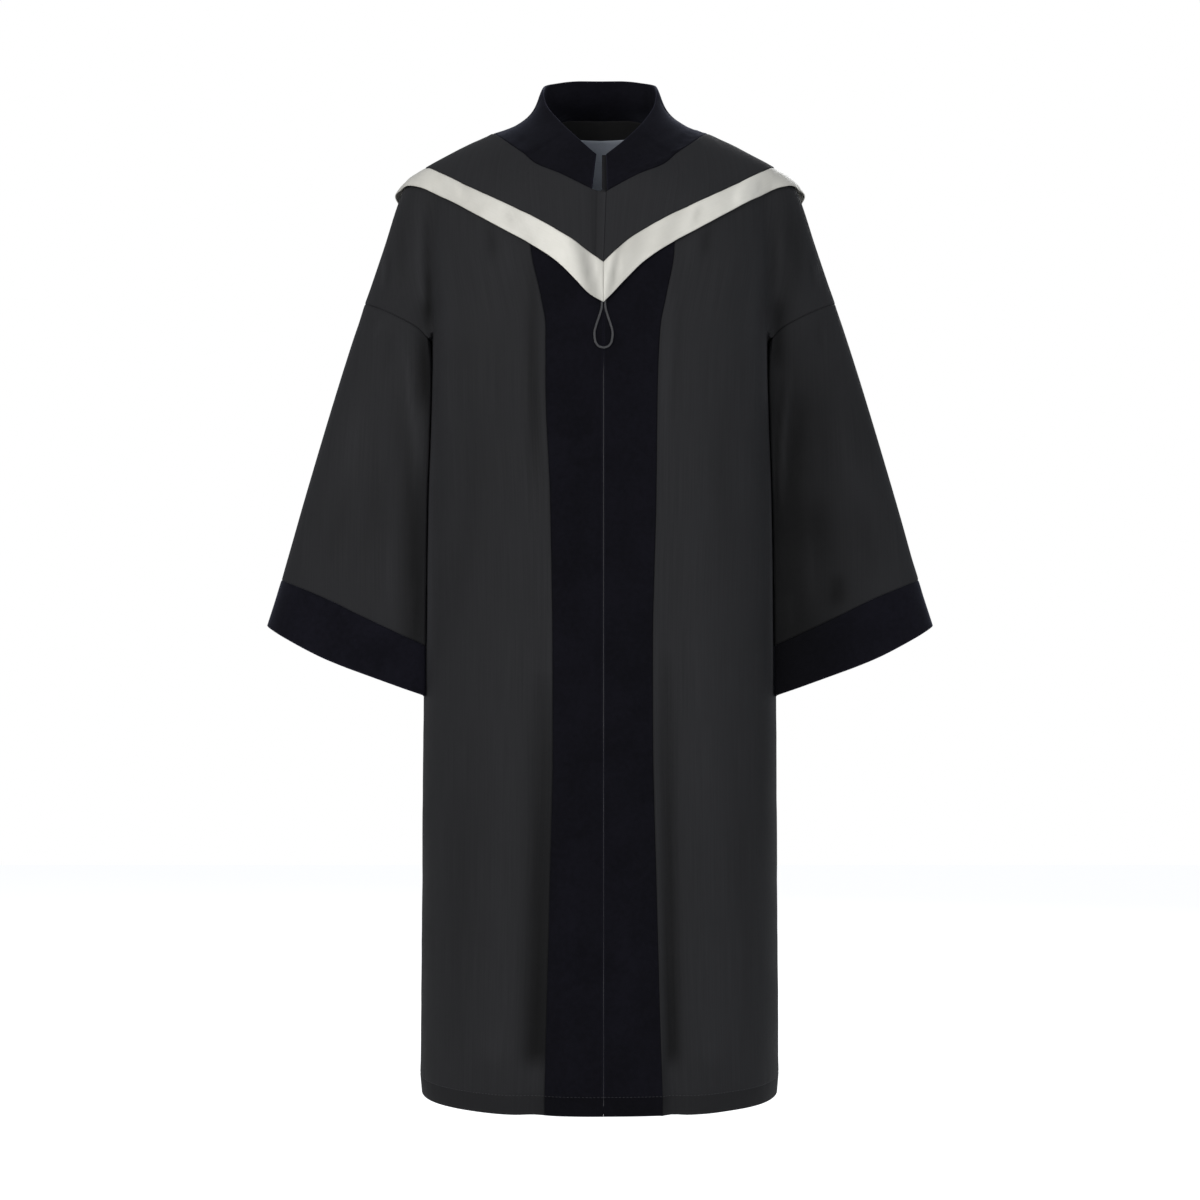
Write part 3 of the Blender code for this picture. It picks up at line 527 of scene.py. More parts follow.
SLEEVE_BACK_CREASES = Table(CREASE_COLUMNS, """
-225 -280 -236 -540 -4  9 -2.2
-256 -270 -286 -520  6 12  2.2
-290 -330 -326 -530  5 11 -1.8
-244 -430 -256 -600  3  8  1.4
 224 -290  235 -550  4  9   -2
 256 -280  284 -500 -6 12    2
 288 -320  324 -540 -5 11 -1.8
 246 -420  258 -600 -3  8  1.4
""")
BAND_CREASES = Table(CREASE_COLUMNS, """
  -6 -163  -8.5 -208  0.8 1.6  0.7
 -17 -156 -14.5 -200 -0.6 2.2 -0.6
  12 -160  14.5 -204  0.6   2 -0.6
  23 -152  21.5 -196  0.5 2.4  0.5
-112  -98   -98 -136    1   4 -0.6
 118  -96   108 -133   -1   4 -0.6
-172  -64  -160 -101    1   5  0.6
 166  -68   156 -104   -1   5  0.6
""")
COLLAR_CREASES = Table(CREASE_COLUMNS, """
 -64 -48 -56 -70  1 1.8 -0.8
 -56 -44 -47 -64  1   2  0.6
  62 -47  56 -69 -1 1.8 -0.8
  70 -40  66 -60 -1   2  0.6
-100  -8 -88 -33  1   3 -0.6
 102  -8  89 -33 -1   3 -0.6
""")

# How finely each sheet is divided.
HEM_ROWS = 150
YOKE_ROWS = 45
FRONT_DIVISIONS = 44
FRONT_NECK_DIVISIONS = 12
VELVET_DIVISIONS = 15
BACK_DIVISIONS = 52
BACK_NECK_DIVISIONS = 20
FACING_FOOT_ROW = 20  # the facing covers the back's yoke from this row to the neck
FACING_DIVISIONS = 12
SLEEVE_HALF_DIVISIONS = 45
SLEEVE_ROWS = 63
CUFF_ROWS = 20
CAPE_DIVISIONS = 66
CAPE_ROWS = 24
CAPE_BACK_ROWS = 42
BAND_ROWS = 12
COLLAR_ROWS = 24

# Lines added beside an edge, as distances from it.
SEAM_LINES = (0.0, 0.0003, 0.0007, 0.0012, 0.0018, 0.0027, 0.004)
SEAM_SINK = 0.00075
SEAM_REACH = 0.002
SEAM_SHADE = 0.75  # a seam's groove is darker than the cloth beside it
SEAM_SHADE_REACH = 0.0009
SEAM_CALM = 0.015  # relief dies away this far from a seam that has to meet its neighbour
HEM_SHADE = -0.62  # painted shade: the double cloth of the hem is darker too
# Where the satin's soft rolls catch or lose the light: how far from its point, on the right (-1) or the
# left (1), how far they reach, and how much lighter they are.
SATIN_ROLLS = Table("side place reach lighter", """
-1  11 4.5  0.75
-1  24  15  -1.5
-1  56  24   1.2
-1 115  30   0.3
-1 170  12  -0.2
-1 195  25   0.4
 1 8.5 4.5  0.65
 1  18 6.5    -1
 1  40  16 -0.35
 1  62  10  0.35
 1  83  11  -0.2
 1 104  12  0.45
 1 126  14   0.4
 1 165  22  0.85
 1 200  14  -0.6
 1 225  16  -0.6
""", plain="side lighter").rows
# Where the cloth is turned a little towards the light or away from it, seen from the front: the place, how far
# it reaches across and up, and how much lighter it is.
PATCH_COLUMNS = "x z wide high lighter"
BODY_PATCHES = Table(PATCH_COLUMNS, """
 -206 -445  11 215   2.5
 -205 -233  11  27  -1.5
 -202 -205   5  30  -1.2
 -202 -140   6  50  -0.4
202.5 -520 3.5 150   2.5
  195 -290   6  45   1.4
  209 -235   9  30  -1.1
  217 -170  15  90 -0.75
  235 -150  16  90  -0.2
-76.5 -290   7 130 -0.75
   75 -290   7  90   0.3
 -204 -900  12 240  -0.8
  190 -760  10 130 -0.45
 -113 -520  22 260 -0.25
 -123 -900  25 160  -0.3
  113 -950  20 160 -0.25
  200 -900  15 220 -0.25
""", plain="lighter")
SLEEVE_PATCHES = Table(PATCH_COLUMNS, """
-216.5 -535   15 120 -1.7
  -210 -365    5  40 0.55
-203.5 -350    6  80 -0.5
  -205 -280 11.5  56 -1.3
   209 -250    9  35   -1
   201 -535  3.6 145  1.2
   279 -548   10  18 -0.8
""", plain="lighter")
# Beside the body the wearer's left sleeve is in its shade: how much, and how far out, at each level.
SIDE_SHADE = Table("level amount reach", """
-600  2.2 92
-480  2.2 85
-430 1.85 80
-370 1.65 95
-340  1.7 88
-310 1.35 80
-280  1.1 62
-230  0.6 55
""", plain="amount")
BODY_SIDE = 0.205  # the shade starts here
SHADE_DEPTH = 0.004  # a fold this deep has its full shade
TONE_RANGE = (-2.0, 2.5)  # of folds and patches; with the seams' grooves it goes down to the next
DARKEST_TONE = -2.2
# painted light: the cape's fronts are made lighter all over than the same suiting elsewhere
CAPE_TONE = 0.22
# How strongly folds and creases shade the cloth, where that isn't 1.
FRONT_FOLD_SHADE = 1.2
FRONT_CREASE_SHADE = 1.5
BACK_FOLD_SHADE = 0.35
SLEEVE_CREASE_SHADE = 1.3
CUFF_SHADE = 0.8
BAND_SHADE_DEPTH = 0.0009
FOLD_SHADE_FOOT = (0.045, 0.075)  # the front folds' shade starts between these heights above the hem
SHADY_SEAM = 0.0016  # beside the velvet the charcoal is as dark as a trough this deep
SHADY_SEAM_REACH = 0.006
SHADY_SEAM_LEVELS = (0.6, 0.8)  # from between these levels below the shoulders downwards
EDGE_WEAR_AND_LIGHT_REACH = (0.0002, 0.0022)  # how far from a fold the edge colour reaches: rubbed wear, and on the velvet a painted highlight
# painted light: the cuffs' velvet is made lighter all over than the fronts' velvet
CUFF_TONE = 0.62
FOLD_LINES = (0.0, 0.12, 0.4, 0.8, 1.2, 2.4)  # times the fold's radius
HEM_LINES = (0.0205, 0.0214, 0.022, 0.0226, 0.0235)
PLACKET_LINES = (0.0095, 0.0104, 0.011, 0.0116, 0.0126)
FOLDED = ("fold", "hem", "placket")  # the kinds of edge where the cloth turns under
SIDES = {"right": -1, "left": 1}


# ------------------------------------------------------------------ camera, light and floor
CAMERA_DISTANCE = 3.0
CAMERA_LEVEL = -0.5592
LENS = 75.0
SENSOR = 36.0
FLOOR_LEVEL = -1.46
AMBIENT = 0.4
BACKDROP = 1.0
FLOOR_GLOW = 0.62  # the floor looks as white as the backdrop
WHITE = (1.0, 1.0, 1.0, 1.0)
# The lights: their places, what they aim at, size, power and colour.
LIGHTS = {
    "key": ((-1.9, -2.8, 1.1), (0.0, 0.0, -0.5), 1.5, 56.0, (1.0, 0.985, 0.965)),
    "fill": ((1.5, -3.2, 0.0), (0.0, 0.0, -0.6), 2.2, 36.0, (0.96, 0.98, 1.0)),
    "behind": ((0.8, 3.2, 1.2), (0.0, 0.0, -0.5), 2.0, 30.0, (1.0, 1.0, 1.0)),
}


def linked(name, data):
    made = bpy.data.objects.new(name, data)
    bpy.context.scene.collection.objects.link(made)
    return made


def node_in(tree, kind, **settings):
    made = tree.nodes.new(kind)
    for name, value in settings.items():
        setattr(made, name, value)
    return made


def feed(tree, socket, value):
    """Sets a socket to a number or a colour, or links it to another socket."""
    if isinstance(value, bpy.types.NodeSocket):
        tree.links.new(value, socket)
    else:
        socket.default_value = value


def camera():
    seen = linked("front_view", bpy.data.cameras.new("front_view"))
    seen.data.sensor_width = SENSOR
    seen.data.lens = LENS
    seen.location = (0.0, -CAMERA_DISTANCE, CAMERA_LEVEL)
    seen.rotation_euler = (math.pi / 2, 0.0, 0.0)
    bpy.context.scene.camera = seen


def soft_light(name, place, aim, size, power, colour):
    """A square panel of light at a place, turned towards what it lights."""
    lamp = linked(name, bpy.data.lights.new(name, "AREA"))
    lamp.data.size = size
    lamp.data.energy = power
    lamp.data.color = colour
    lamp.location = place
    way = np.array(aim, float) - np.array(place, float)
    lamp.rotation_euler = (math.atan2(math.hypot(way[0], way[1]), -way[2]), 0.0, math.atan2(-way[0], way[1]))


def seen_directly(tree):
    return node_in(tree, "ShaderNodeLightPath").outputs["Is Camera Ray"]


def studio():
    """A pale world that the camera sees brighter than it lights, two soft panels and a third behind."""
    world = bpy.data.worlds.new("pale_studio")
    bpy.context.scene.world = world
    world.use_nodes = True
    tree = world.node_tree
    tree.nodes.clear()
    mixed = node_in(tree, "ShaderNodeMixShader")
    feed(tree, mixed.inputs["Fac"], seen_directly(tree))
    for socket, colour, strength in ((1, (0.93, 0.96, 1.0, 1.0), AMBIENT), (2, WHITE, BACKDROP)):
        sky = node_in(tree, "ShaderNodeBackground")
        sky.inputs["Color"].default_value = colour
        sky.inputs["Strength"].default_value = strength
        feed(tree, mixed.inputs[socket], sky.outputs["Background"])
    feed(tree, node_in(tree, "ShaderNodeOutputWorld").inputs["Surface"], mixed.outputs["Shader"])
    for name, light in LIGHTS.items():
        soft_light(name, *light)
    bpy.context.scene.view_settings.view_transform = "Standard"
    bpy.context.scene.view_settings.look = "None"


def floor():
    bpy.ops.mesh.primitive_plane_add(size=9.0, location=(0.0, 1.0, FLOOR_LEVEL))
    pale = bpy.context.object
    pale.name = "floor"
    made, tree, shader = new_finish(
        "pale_floor", Base_Color=(0.9, 0.9, 0.9, 1.0), Roughness=0.9, Specular_IOR_Level=0.1,
        Emission_Color=WHITE,
    )
    feed(tree, shader.inputs["Emission Strength"], maths(tree, "MULTIPLY", seen_directly(tree), FLOOR_GLOW))
    pale.data.materials.append(made)


# ------------------------------------------------------------------ the gown's form
OUTLINE = along(SHOULDER, np.linspace(0, 1, 160))
ON_OUTLINE = 0.00005


def inside_outline(x, z):
    """Distance from the shoulder outline, seen from the front."""
    spot = np.stack([np.abs(x), z], axis=-1)[..., None, :]
    start, run = OUTLINE[:-1], np.diff(OUTLINE, axis=0)
    share = np.clip(((spot - start) * run).sum(-1) / (run * run).sum(-1), 0, 1)
    apart = np.linalg.norm(spot - start - share[..., None] * run, axis=-1).min(axis=-1)
    return np.maximum(apart - ON_OUTLINE, 0)


def fold_height(x, z, face):
    """How far the soft folds of one face stand out (or in) at a place."""
    height = np.zeros_like(x)
    for top_x, foot_x, top, foot, half_width, rise in FOLDS[face].rows:
        down = np.clip((top - z) / (top - foot), 0, 1)
        height = height + rise * np.sqrt(down) * bell(x - (top_x + (foot_x - top_x) * down), half_width)
    return height


def torso(level, face):
    """The torso's half width, its depth on one face and its squareness at a level."""
    return [TORSO.at(name, level) for name in ("half_width", face, "squareness")]


def depth(x, z, face):
    """How far the gown's outer face lies in front of, or behind, the plane through the shoulders."""
    x, z = np.broadcast_arrays(np.asarray(x, float), np.asarray(z, float))
    half, deep, square = torso(z, face)
    body = deep * (1 - np.clip(np.abs(x) / half, 0, 1)**square) ** (1 / square)
    upper = z > UNDERARM_LEVEL
    edge = np.ones(x.shape)
    edge[upper] = inside_outline(x[upper], z[upper])
    body = body * fill_out(edge, SHOULDER_ROUND)
    out = np.abs(x) - ARM.at("inner_edge", z)
    arm = ARM.at(face, z) * fill_out(edge, ARM_ROUND) * fill_out(out, ARMPIT_ROUND[face])
    if face == "front":
        arm = arm * (1 + ARM_SLOPE * (1 - np.clip(out / ARM_SLOPE_REACH, 0, 1)))
    blend = ARM.at("blend", z) * fill_out(edge, ARM_ROUND)
    joined = (body + arm + np.sqrt((body - arm) ** 2 + blend**2)) / 2
    return np.where(upper, joined, body) + fill_out(half - np.abs(x), SIDE_FADE) * fold_height(x, z, face)


def on_form(flat, face):
    """Lifts points of the front view, (across, level), on to the front or back of the form."""
    y = depth(flat[..., 0], flat[..., 1], face) * (-1 if face == "front" else 1)
    return np.stack([flat[..., 0], y, flat[..., 1]], axis=-1)


def torso_row(level, start_x, count, face):
    """Points round the torso tube from a place near its middle to its side, closest at the corner."""
    half, deep, square = map(float, torso(level, face))
    first = math.asin((start_x / half) ** (square / 2))
    angle = np.linspace(first, math.pi / 2, TORSO_STEPS)
    x, y = half * np.sin(angle) ** (2 / square), deep * np.cos(angle) ** (2 / square)
    length = run_of(np.stack([x, y], axis=1))
    even = length / length[-1] + (angle - first) / (angle[-1] - first)
    x = np.interp(np.linspace(0, even[-1], count + 1), even, x)
    return np.stack([x, np.full_like(x, level)], axis=1)


def outline_level(across):
    return np.interp(across, OUTLINE[:, 0], OUTLINE[:, 1])


def shoulder_piece(start, end, count):
    """Points along the shoulder outline between two places across, spread evenly."""
    part = OUTLINE[(OUTLINE[:, 0] > start) & (OUTLINE[:, 0] < end)]
    ends = [[at, outline_level(at)] for at in (start, end)]
    return along(np.vstack([ends[:1], part, ends[1:]]), shares(count))


ROUND_STEPS = closing(YOKE_ROWS)
ARMHOLE_LINE = along(ARMHOLE, ROUND_STEPS)
LEVELS = HEM_LEVEL + (UNDERARM_LEVEL - HEM_LEVEL) * shares(HEM_ROWS)


# ------------------------------------------------------------------ the sheets of points
def mirrored(grid, side):
    """A half sheet on the wearer's left (side 1) or right (side -1)."""
    return grid * (side, 1, 1)


def upper_levels(top):
    """Levels from the underarm up to a top level."""
    return UNDERARM_LEVEL + (top - UNDERARM_LEVEL) * ROUND_STEPS


def upright(x, top):
    """A line straight up from the underarm's level."""
    return np.stack([np.full_like(ROUND_STEPS, x), upper_levels(top)], axis=1)


def panel(low, top, left, right):
    """A panel's front-view points: its rows up to the underarm, then a patch up to its top edge."""
    return np.vstack([np.stack(low[:-1]), patch(low[-1], top, left, right)])


def neck_and_shoulder(neck, count, on_neck):
    """A panel's top edge: its steps along the neck seam, then the rest along the shoulder."""
    shoulder = shoulder_piece(NECK_POINT, SHOULDER[-1, 0], count - on_neck)
    return np.vstack([along(neck, shares(on_neck))[:-1], shoulder])


def seam_place(level, side):
    return VELVET_SEAM.at("left" if side > 0 else "right", level)


def velvet_seam_line(side):
    """The upper stretch of the velvet seam, armpit level to neck."""
    top = NECK_FRONT[SEAM_TOP]
    level = upper_levels(top[1])
    line = np.stack([seam_place(level, side), level], axis=1)
    line[-1] = top
    return line


def zip_edge(level, side):
    """Where a velvet front ends beside the zip, counted outwards on its own side."""
    opens = soft_step(level, HEM_LEVEL + ZIP_OPENS[0], HEM_LEVEL + ZIP_OPENS[1])
    shows = opens * soft_step(-level, *ZIP_COVERED) * GAP.at("share", level)
    return FRONT_EDGE_X * side + ZIP_CLOSED + (ZIP_SHOWS - ZIP_CLOSED) * float(shows)


def velvet_front(side):
    """The velvet front: from the zip to the seam, hem to neck."""
    share = shares(VELVET_DIVISIONS)
    low = []
    for level in LEVELS:
        start = zip_edge(level, side)
        x = start + (seam_place(level, side) - start) * share
        low.append(np.stack([x, np.full_like(x, level)], axis=1))
    start = FRONT_EDGE_X * side + ZIP_CLOSED
    neck = along([(start, NECK_FRONT_LEVEL), COLLAR_CORNER[side], *NECK_FRONT[:SEAM_TOP + 1]], share)
    flat = panel(low, neck, upright(start, NECK_FRONT_LEVEL), velvet_seam_line(side))
    return on_form(flat * (side, 1), "front")


def charcoal_front(side):
    """The charcoal front: from the velvet seam to the side seam and the sleeve seam, hem to shoulder."""
    low = [torso_row(level, float(seam_place(level, side)), FRONT_DIVISIONS, "front") for level in LEVELS]
    top = neck_and_shoulder(NECK_FRONT[SEAM_TOP:], FRONT_DIVISIONS, FRONT_NECK_DIVISIONS)
    return on_form(panel(low, top, velvet_seam_line(side), ARMHOLE_LINE) * (side, 1), "front")


def half_back():
    """Half of the back: from the middle to the side seam and the sleeve seam."""
    low = [torso_row(level, 0.0, BACK_DIVISIONS, "back") for level in LEVELS]
    top = neck_and_shoulder(NECK_BACK, BACK_DIVISIONS, BACK_NECK_DIVISIONS)
    return panel(low, top, upright(0.0, NECK_BACK[0, 1]), ARMHOLE_LINE)


def both_halves(half):
    """The sheet behind from two mirrored halves of front-view points that share their middle column."""
    other = half * (-1, 1)
    return on_form(np.concatenate([other[:, :0:-1], half], axis=1), "back")


def evenly(line, count, closer=0.0):
    """Points spread over a line, evenly or closer where it turns."""
    way = unit(np.diff(line, axis=0))
    turn = np.arccos(np.clip((way[1:] * way[:-1]).sum(axis=1), -1, 1))
    place = run_of(line)
    place = place / place[-1] + closer * np.concatenate([[0.0, 0.0], np.cumsum(turn)]) / math.pi
    return picked(np.linspace(0, place[-1], count + 1), place, line)


def side_of_torso(level, forward):
    """How far out the torso's side is at a level, at these distances in front of its middle."""
    half, deep, square = map(float, torso(level, "front"))
    return half * (1 - np.clip(forward / deep, 0, 1) ** square) ** (1 / square)


def sleeve_rings(share):
    """Rings of the sleeve at the given shares of its length, each from the armpit round the front."""
    share = np.asarray(share)
    get = {name: SLEEVE.at(name, share) for name in SLEEVE.column}
    body = TORSO.at("half_width", get["inner_z"])
    inner_x = body + SLEEVE_CLEARANCE * np.clip(share / CLEARANCE_REACH, 0, 1)
    angle = np.linspace(0, 2 * math.pi, RING_STEPS + 1)
    cosine, sine = np.cos(angle), np.sin(angle)
    power = 2 / np.where(cosine > 0, SLEEVE_INNER_SQUARENESS, SLEEVE_SQUARENESS)
    across = np.sign(cosine) * np.abs(cosine) ** power
    deep = np.sign(sine) * np.abs(sine) ** power
    dip = np.where(deep > 0, DIP.at("share", across), 0)
    swell = SLEEVE_SWELL * soft_step(across, *SWELL_ACROSS)
    half = RING_STEPS // 2
    rings = []
    for i in range(len(share)):
        outer = np.array([get["outer_x"][i], get["outer_z"][i]])
        inner = np.array([inner_x[i], get["inner_z"][i]])
        x, z = ((outer + inner) / 2 + (inner - outer) / 2 * across[:, None]).T
        y = np.where(deep > 0, -(get["front"][i] + swell) * deep, -get["back"][i] * deep)
        side = side_of_torso(get["inner_z"][i], np.maximum(-y, 0))
        beside = soft_step(across, *HUG_ACROSS) * (body[i] - side)
        ring = np.stack([x - beside, y, z - get["dip"][i] * dip], axis=1)
        halves = (ring[:half + 1], ring[half:])
        front, back = (evenly(part, SLEEVE_HALF_DIVISIONS, CORNER_CLOSER) for part in halves)
        rings.append(np.vstack([front, back[1:-1]]))
    return np.stack(rings)


def armhole_ring():
    """The sleeve seam's own ring, on the form, in the same order as the sleeve's rings."""
    line = along(ARMHOLE, (1 - np.cos(np.linspace(0, math.pi, ARMHOLE_STEPS))) / 2)
    front, back = on_form(line, "front"), on_form(line, "back")
    front[0, 0] += ARMPIT_GAP
    front, back = evenly(front, SLEEVE_HALF_DIVISIONS), evenly(back[::-1], SLEEVE_HALF_DIVISIONS)
    return np.vstack([front, back[1:-1]])


def sleeve(start, end, rows):
    """The sleeve between two of its rings, closed at its underarm seam, taking the armhole's shape near it."""
    share = np.linspace(start, end, rows + 1)
    fade = np.clip(1 - share / SEAM_SHAPE_REACH, 0, 1) ** 2
    rings = sleeve_rings(share) + fade[:, None, None] * (armhole_ring() - sleeve_rings([0.0])[0])
    return np.concatenate([rings, rings[:, :1]], axis=1)


def neck_front_line(side):
    """The front neck seam from the cape's edge to the neck point, its first step up to the collar's corner."""
    start = [[PLACKET_TOP_X * side, NECK_FRONT_LEVEL]]
    return np.vstack([start, along([COLLAR_CORNER[side], *NECK_FRONT], closing(CAPE_DIVISIONS - 1))])


def band_edge(column, end, side):
    """One of the satin band's edges seen from the front, from its point to the shoulder."""
    edge = BAND_FRONT[BAND_FRONT[:, 0] < end - POINT_SPACE][:, [0, column]]
    edge[1:, 1] += POINT_DROP[side][column - 1] * np.clip(1 - edge[1:, 0] / POINT_REACH[column], 0, 1)
    edge[0, 0] = FRONT_EDGE_X * side
    return along(np.vstack([edge, [[end, outline_level(end)]]]), closing(CAPE_DIVISIONS))


def cape_and_band(neck, upper, lower, cape_rows):
    """The cape and its satin band as front-view points, between the neck seam and the band's two edges."""
    sheets = []
    for bottom, top, start, end, rows in (
        (neck, upper, NECK_POINT, CAPE_POINT, cape_rows),
        (upper, lower, CAPE_POINT, BAND_POINT, BAND_ROWS),
    ):
        left = along([bottom[0], top[0]], shares(rows))
        sheets.append(patch(bottom, top, left, shoulder_piece(start, end, rows)))
    return sheets


def cape_front(side):
    upper, lower = band_edge(1, CAPE_POINT, side), band_edge(2, BAND_POINT, side)
    return cape_and_band(neck_front_line(side), upper, lower, CAPE_ROWS)


def cape_back():
    """One half, from the middle outwards."""
    steps = closing(CAPE_DIVISIONS)
    upper, lower = (
        along([*points, (end, outline_level(end))], steps)
        for points, end in ((BAND_BACK_UPPER, CAPE_POINT), (BAND_BACK_LOWER, BAND_POINT))
    )
    return cape_and_band(along(NECK_BACK, steps), upper, lower, CAPE_BACK_ROWS)


def collar(seam):
    """The collar above its seam line, which runs from the wearer's right front round the back to the left."""
    half = len(seam) // 2
    share = np.interp(np.arange(half + 1), [0, CAPE_DIVISIONS - 1, half], [0, COLLAR_SHOULDER_SHARE, 1])
    edge, shift = COLLAR_EDGE[:, :3], COLLAR_EDGE[:, 3:] * (1, 0, 0)
    right, left = along(edge, share) * (-1, 1, 1), along(edge + shift, share)
    hollow = np.interp(share, shares(len(COLLAR_HOLLOW) - 1), COLLAR_HOLLOW)
    hollow = np.concatenate([hollow, hollow[-2::-1]])
    v = shares(COLLAR_ROWS)[:, None, None]
    line = (1 - v) * seam + v * np.concatenate([right, left[-2::-1]])
    bow = v * (1 - v) ** HOLLOW_LEAN
    peak = (1 - 1 / (1 + HOLLOW_LEAN)) ** HOLLOW_LEAN / (1 + HOLLOW_LEAN)
    return line + unit(-line * (1, 1, 0)) * bow / peak * hollow[None, :, None]


def outward(sheets):
    """Outward directions at the points of sheets that meet, the same for points that they share."""
    spots = np.concatenate([grid.reshape(-1, 3) for grid in sheets])
    shared = np.unique(np.round(spots * 1e5), axis=0, return_inverse=True)[1].ravel()
    total = np.zeros((shared.max() + 1, 3))
    ends = np.cumsum([grid.shape[0] * grid.shape[1] for grid in sheets])[:-1]
    for grid, index in zip(sheets, np.split(shared, ends)):
        faces = np.cross(grid[1:, 1:] - grid[:-1, :-1], grid[1:, :-1] - grid[:-1, 1:])
        wrapped = np.allclose(grid[:, 0], grid[:, -1])
        core = grid.mean(axis=1, keepdims=True) if wrapped else grid * (0, 0, 1)
        if (faces * (grid - core)[:-1, :-1]).sum() < 0:
            faces = -faces
        index = index.reshape(grid.shape[:2])
        for corner in (index[:-1, :-1], index[1:, :-1], index[:-1, 1:], index[1:, 1:]):
            np.add.at(total, corner, faces)
    ways = unit(total[shared])
    return [part.reshape(grid.shape) for part, grid in zip(np.split(ways, ends), sheets)]


# ------------------------------------------------------------------ from sheets to cloth
EDGES = ("first_row", "last_row", "first_column", "last_column")


def respaced(lines, first, last):
    """Each line of points with more points at these distances from its two ends."""
    made = []
    for line in lines:
        at = run_of(line[:, :3])
        low = first[-1] if len(first) else 0.0
        high = at[-1] - (last[-1] if len(last) else 0.0)
        middle = low + (high - low) * at / at[-1]
        places = np.concatenate([first[:-1], middle, (at[-1] - np.asarray(last[:-1]))[::-1]])
        made.append(picked(places, at, line))
    return np.stack(made)


def edge_lines(kind, wall):
    more = {"fold": (), "hem": HEM_LINES, "placket": PLACKET_LINES}
    return SEAM_LINES if kind == "seam" else (*(share * wall / 2 for share in FOLD_LINES), *more[kind])


class Cloth:
    """A sheet of points with its outward directions and the distances over it from its own edges."""

    def __init__(self, grid, out, kinds, wall):
        lines = np.concatenate([grid, out], axis=2)
        gaps = [edge_lines(kind, wall) for kind in kinds]
        lines = respaced(lines, gaps[2], gaps[3])
        lines = respaced(lines.swapaxes(0, 1), gaps[0], gaps[1]).swapaxes(0, 1)
        self.points, self.out = lines[..., :3], unit(lines[..., 3:])
        self.kinds = dict(zip(EDGES, kinds))
        self.wall = wall
        across, upward = (run_of(self.points, axis) for axis in (1, 0))
        self.across, self.upward = across, upward
        distances = (upward, upward[-1:] - upward, across, across[:, -1:] - across)
        self.apart = dict(zip(EDGES, distances))
        self.place = {edge: across if "row" in edge else upward for edge in EDGES}
        self.x, self.y, self.z = self.points[..., 0], self.points[..., 1], self.points[..., 2]

    def edges(self, *kinds):
        """The distances from each edge of these kinds."""
        return [self.apart[edge] for edge, kind in self.kinds.items() if kind in kinds]

    def outer_and_inner(self, relief):
        """The two faces of the cloth: the relief on both, seams sunk outside, folds rounded on both."""
        rise, sink, lift = relief.copy(), np.zeros(relief.shape), np.zeros(relief.shape)
        thick = np.full(relief.shape, self.wall)
        radius = self.wall / 2
        for away in self.edges("seam"):
            sink = np.maximum(sink, SEAM_SINK * np.clip(1 - away / SEAM_REACH, 0, 1) ** 2)
        for away in self.edges(*FOLDED):
            drop = radius * (1 - fill_out(away, radius))
            sink, lift = np.maximum(sink, drop), np.maximum(lift, drop)
        for away in self.edges("hem"):
            turned_up = soft_step(-away, -HEM_TURNING - TURNING_SOFTNESS, -HEM_TURNING + TURNING_SOFTNESS)
            thick = thick + HEM_LAYER * turned_up
            rise = rise - HEM_DENT * bell(away - HEM_TURNING, HEM_DENT_REACH)
            rise = rise - HEM_FALL * np.clip(1 - away / HEM_TURNING, 0, 1) ** 1.5
        outer = self.points + self.out * (rise - sink)[..., None]
        inner = self.points + self.out * (rise - thick + lift)[..., None]
        return outer, inner

    def pulled(self, points):
        """The sheet with its seam edges moved back a hair from their seam lines."""
        moved = points.copy()
        by_column, moved_columns = points.swapaxes(0, 1), moved.swapaxes(0, 1)
        for edge, kind in self.kinds.items():
            if kind == "seam":
                lines, edge_of = (points, moved) if "row" in edge else (by_column, moved_columns)
                line, inner = (0, 1) if "first" in edge else (-1, -2)
                edge_of[line] += unit(lines[inner] - lines[line]) * SEAM_PULL
        return moved

    def worn(self):
        """1 at folded edges, 0 over the cloth: where edge colour is rubbed wear, and on the velvet a painted
        highlight.
        """
        return 1 - np.minimum.reduce([np.ones(self.x.shape)] + [
            soft_step(away, *EDGE_WEAR_AND_LIGHT_REACH) for away in self.edges(*FOLDED)
        ])

    def toned(self, shade):
        """The cloth's painted light and shade: the shade given, with painted shade in its seams' grooves and
        over the hem.
        """
        tone = np.clip(shade, *TONE_RANGE)
        for edge, kind in self.kinds.items():
            away = self.apart[edge]
            if kind == "seam":
                tone = tone - SEAM_SHADE * fading(away, SEAM_SHADE_REACH)
            if kind == "hem":
                tone = tone + HEM_SHADE * soft_step(-away, -HEM_TURNING, -HEM_TURNING + 0.001)
        return np.clip(tone, DARKEST_TONE, TONE_RANGE[1])


def put(layer, key, values):
    layer.data.foreach_set(key, np.asarray(values).reshape(-1).astype(np.float32))


def new_mesh(name, points, faces, places, finishes, sharp):
    """A smooth mesh with its finishes and a weave map of each point's place on its cloth or yarn."""
    mesh = bpy.data.meshes.new(name)
    mesh.from_pydata(points.tolist(), [], faces)
    for finish in finishes:
        mesh.materials.append(finish)
    corners = [corner for face in faces for corner in face]
    put(mesh.uv_layers.new(name="Weave"), "uv", places[corners])
    mesh.update()
    mesh.shade_smooth()
    mesh.set_sharp_from_angle(angle=math.radians(sharp))
    return mesh


# The bake map: the outer face, the inner face and a strip for the rim, as (size, corner).
OUTER_MAP = np.array([(0.64, 0.98), (0.01, 0.01)])
INNER_MAP = np.array([(0.27, 0.98), (0.67, 0.01)])
RIM_MAP = (0.96, 0.985)


